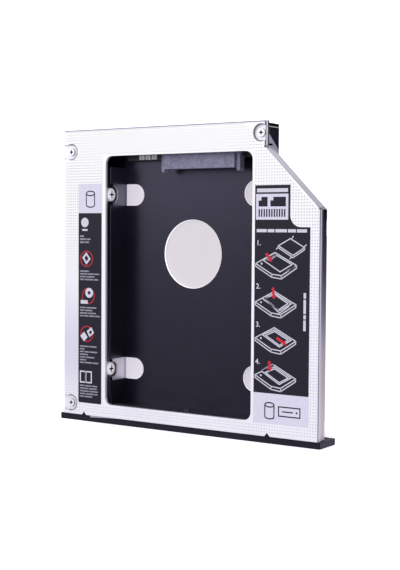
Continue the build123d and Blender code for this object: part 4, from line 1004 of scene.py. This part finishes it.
class CADDY_OT_guide(bpy.types.Operator):
    """Prints the four fitting steps and the plain bars on the wide sticker"""

    bl_idname = "caddy.guide"
    bl_label = "Fitting guide"

    def execute(self, context):
        width = context.scene.caddy_print.line_width / MM

        def outlines(bm):
            for centre in STEPS:
                add_tray_sketch(bm, centre, width, 1)
            tops = (LOOSE_TOP, LEANING_TOP, LAID_TOP, LAID_TOP)
            for top, centre in zip(tops, (LOOSE_AT,) + STEPS[1:]):
                add_line(bm, shifted(top, centre), width, 1, closed=True)
            sides = (shifted(LOOSE_SIDE, LOOSE_AT), shifted(LEANING_SIDE, STEPS[1])) + TICKS
            for side in sides:
                add_line(bm, side, width, 1)

        def bars(bm):
            add_plates(bm, 1, corners((36.1, 35.85), (50.2, 37.35)))
            add_words(bm, 36.1, 20.0, 1.25, (4.6, 3.1, 5.2, 3.6, 4.4), 1)
            add_words(bm, 58.7, -18.5, 1.1, (4.2, 1.6, 5.6, 2.2), 1, upright=True)

        def grey_plates(bm):
            add_plates(
                bm, 1, [(40.3, 9.3), (42.2, 8.4), (45.4, 10.6), (44.6, 11.8)],
                [(38.9, -35.0), (44.0, -32.1), (44.8, -33.3), (40.2, -36.1)],
                shifted(((5.0, -1.6), (8.6, 0.0), (8.6, -0.6), (5.0, -2.3)), STEPS[0]),
            )

        def arrows(bm):
            for tail, tip in ARROWS:
                add_arrow(bm, tail, tip, 2)

        def dark_marks(bm):
            # A keyed drive plug in plain outline: a short and a long bar over a row of contacts
            for x0, x1 in ((36.9, 41.0), (42.3, 49.3)):
                key = [(x1, 34.0), (x0 + 1.3, 34.0), (x0 + 1.3, 32.6), (x0, 32.6)]
                add_plates(bm, 2, [(x0, 30.2), (x1, 30.2)] + key)
            contact_pitch, contact_width = 1.16, 0.62
            for i in range(11):
                x = 36.9 + i * contact_pitch
                add_plates(bm, 2, corners((x, 26.1), (x + contact_width, 29.2)))
            add_barrel(bm, (40.6, -54.4), (44.8, -47.9), HEAVY_LINE, 0)
            add_line(bm, corners((46.9, -52.9), (56.5, -49.2)), HEAVY_LINE, 0, closed=True)
            add_line(bm, [(48.4, -51.05), (53.4, -51.05)], HEAVY_LINE, 0)
            add_plates(bm, 0, circle_points((55.0, -51.05), 0.4, 12))

        print_piece("guide_outlines", outlines, "white_ink")
        print_piece("guide_bars", bars, "white_ink")
        print_piece("guide_grey_plates", grey_plates, "grey_ink")
        print_piece("guide_arrows", arrows, "red_ink")
        print_piece("sticker_dark_marks", dark_marks, "charcoal_ink")
        return {"FINISHED"}


class CADDY_OT_numerals(bpy.types.Operator):
    """Prints the numerals one to four beside the fitting steps"""

    bl_idname = "caddy.numerals"
    bl_label = "Step numerals"

    def execute(self, context):
        def numerals(bm):
            for number, y in enumerate(NUMERAL_Y, start=1):
                curve = bpy.data.curves.new(f"step_{number}", "FONT")
                curve.body = f"{number}."
                curve.size = NUMERAL_SIZE
                curve.extrude = INK_DEPTH / 2
                curve.offset = NUMERAL_SWELL
                holder = bpy.data.objects.new(curve.name, curve)
                context.scene.collection.objects.link(holder)
                mesh = evaluated_mesh(context, holder)
                mesh.transform(Matrix.Translation((NUMERAL_X, y, STICKER_TOP + 1.5 * INK_DEPTH)))
                bm.from_mesh(mesh)
                bpy.data.meshes.remove(mesh)
            bmesh.ops.remove_doubles(bm, verts=bm.verts, dist=0.0005)

        print_piece("guide_numerals", numerals, "white_ink")
        return {"FINISHED"}


class CADDY_OT_care(bpy.types.Operator):
    """Prints the plain marks and bars of the narrow sticker"""

    bl_idname = "caddy.care"
    bl_label = "Narrow sticker"

    def execute(self, context):
        sizes = context.scene.caddy_print
        radius, ring = sizes.ring_radius / MM, sizes.ring_width / MM

        def ring_marks(bm):
            for centre in RINGS:
                add_line(bm, circle_points(centre, radius - ring / 2, 32), ring, 1, closed=True)

        def white_marks(bm):
            add_plates(
                bm, 1, circle_points((-51.9, 23.7), 2.1, 24), corners((-53.4, 20.0), (-50.4, 20.8))
            )
            add_plates(
                bm, 2, [(-53.3, 8.2), (-51.0, 10.6), (-48.6, 7.6), (-51.0, 5.1)],
                circle_points((-49.4, -7.3), 2.2, 20), corners((-54.2, -12.2), (-50.2, -10.6)),
                [(-50.7, -24.3), (-48.1, -22.4), (-46.6, -24.9), (-49.2, -26.9)],
                [(-54.4, -26.6), (-52.2, -24.6), (-50.2, -27.0), (-52.3, -28.9)],
            )
            page_width, page_line = 3.0, 0.6
            for x in (-54.3, -51.1):
                page = corners((x, -47.1), (x + page_width, -42.3))
                add_line(bm, page, page_line, 1, closed=True)

        def dark_marks(bm):
            add_plates(
                bm, 3, [(-52.1, 8.1), (-51.0, 9.3), (-49.8, 7.7), (-51.0, 6.5)],
                circle_points((-49.4, -7.3), 0.8, 12),
                [(-49.5, -24.6), (-48.3, -23.7), (-47.7, -24.8), (-48.9, -25.7)],
            )
            add_barrel(bm, (-51.1, 30.4), (-46.5, 37.4), HEAVY_LINE, 0)

        def small_print(bm):
            for top, height, lines in SMALL_PRINT:
                for i, lengths in enumerate(lines):
                    y = top - i * (height + LINE_GAP)
                    add_words(bm, SMALL_PRINT_X, y, height, lengths, 1, gap=WORD_GAP)

        print_piece("care_rings", ring_marks, "crimson_ink")
        print_piece("care_white_marks", white_marks, "white_ink")
        print_piece("care_dark_marks", dark_marks, "charcoal_ink")
        print_piece("care_small_print", small_print, "grey_ink")
        return {"FINISHED"}


# The floor in metres, the sky's change from front to rear, and the camera's turns in radians
FLOOR_SIZE, FLOOR_GAP = 6.0, 0.0003
SKY_TURN = (-0.20, 0.13)
CAMERA_TURNS = (-0.0066, 0.0475, -0.5835)


class CADDY_OT_studio(bpy.types.Operator):
    """Sets up the pale floor, the soft lights and the camera"""

    bl_idname = "caddy.studio"
    bl_label = "Studio"

    def execute(self, context):
        scene, settings = context.scene, context.scene.caddy_studio
        bpy.ops.mesh.primitive_plane_add(size=FLOOR_SIZE, location=(0, 0, -FLOOR_GAP))
        floor = context.active_object
        floor.name = "studio_floor"
        floor.data.materials.append(made_once(pale_floor, settings))

        world = bpy.data.worlds.new("studio_sky")
        world.use_nodes = True
        tree = world.node_tree
        path = add_node(tree, "ShaderNodeLightPath")
        sky = tree.nodes["Background"]
        sky.inputs["Color"].default_value = linear("#f4f3fc")
        way = add_node(tree, "ShaderNodeTexCoord")
        y = add_node(
            tree, "ShaderNodeSeparateXYZ", links={"Vector": way.outputs["Generated"]}
        ).outputs["Y"]
        feed(sky, "Strength", spread(y, *SKY_TURN, settings.sky_front, settings.sky_rear))
        white = add_node(tree, "ShaderNodeBackground", {"Color": (1, 1, 1, 1), "Strength": 1.0})
        chosen = add_node(
            tree, "ShaderNodeMixShader",
            links={0: path.outputs["Is Camera Ray"], 1: sky, 2: white},
        )
        feed(tree.nodes["World Output"], "Surface", chosen.outputs[0])
        scene.world = world

        lights = (
            ("softbox", (-0.50, 0.42, 0.62), 0.70, settings.box_power, "#fffdf8"),
            ("fill_light", (0.50, -0.30, 0.30), 0.40, settings.fill_power, "#f2f3ff"),
        )
        for name, place, size, power, colour in lights:
            data = bpy.data.lights.new(name, "AREA")
            data.shape = "SQUARE"
            data.size = size
            data.energy = power
            data.color = linear(colour)[:3]
            lamp = bpy.data.objects.new(name, data)
            lamp.location = place
            lamp.rotation_euler = (-Vector(place)).to_track_quat("-Z", "Y").to_euler()
            scene.collection.objects.link(lamp)

        camera = bpy.data.cameras.new("photo_camera")
        camera.sensor_width = 36.0
        camera.lens = settings.lens
        camera.clip_start, camera.clip_end = 0.01, 20.0
        holder = bpy.data.objects.new("photo_camera", camera)
        roll, pitch, yaw = (
            Matrix.Rotation(angle, 3, axis) for angle, axis in zip(CAMERA_TURNS, "ZXY")
        )
        turn = roll @ pitch @ yaw
        holder.matrix_world = Matrix.Translation(settings.camera_place) @ turn.transposed().to_4x4()
        scene.collection.objects.link(holder)
        scene.camera = holder
        scene.view_settings.view_transform = "Standard"
        return {"FINISHED"}


class CADDY_PT_panel(bpy.types.Panel):
    """Lists the caddy's operators and sizes"""

    bl_idname = "CADDY_PT_panel"
    bl_label = "Drive caddy"
    bl_space_type = "VIEW_3D"
    bl_region_type = "UI"
    bl_category = "Drive caddy"

    def draw(self, context):
        for operator in OPERATORS:
            self.layout.operator(operator.bl_idname)
        for name, group in GROUPS.items():
            box = self.layout.box()
            for key in group.__annotations__:
                box.prop(getattr(context.scene, name), key)


OPERATORS = (
    CADDY_OT_metal, CADDY_OT_plastic, CADDY_OT_electronics, CADDY_OT_dots, CADDY_OT_stickers,
    CADDY_OT_guide, CADDY_OT_numerals, CADDY_OT_care, CADDY_OT_studio,
)
GROUPS = {
    "caddy_sheet": CADDY_PG_sheet, "caddy_print": CADDY_PG_print, "caddy_studio": CADDY_PG_studio,
}


def register():
    """Registers the groups, the operators and the panel."""
    for name, group in GROUPS.items():
        bpy.utils.register_class(group)
        setattr(bpy.types.Scene, name, PointerProperty(type=group))
    for operator in OPERATORS:
        bpy.utils.register_class(operator)
    bpy.utils.register_class(CADDY_PT_panel)


def unregister():
    """Removes them again."""
    bpy.utils.unregister_class(CADDY_PT_panel)
    for operator in reversed(OPERATORS):
        bpy.utils.unregister_class(operator)
    for name, group in reversed(GROUPS.items()):
        delattr(bpy.types.Scene, name)
        bpy.utils.unregister_class(group)


def main():
    """Builds the looks in order."""
    register()
    for operator in OPERATORS:
        group, name = operator.bl_idname.split(".")
        getattr(getattr(bpy.ops, group), name)()


if __name__ == "__main__":
    main()
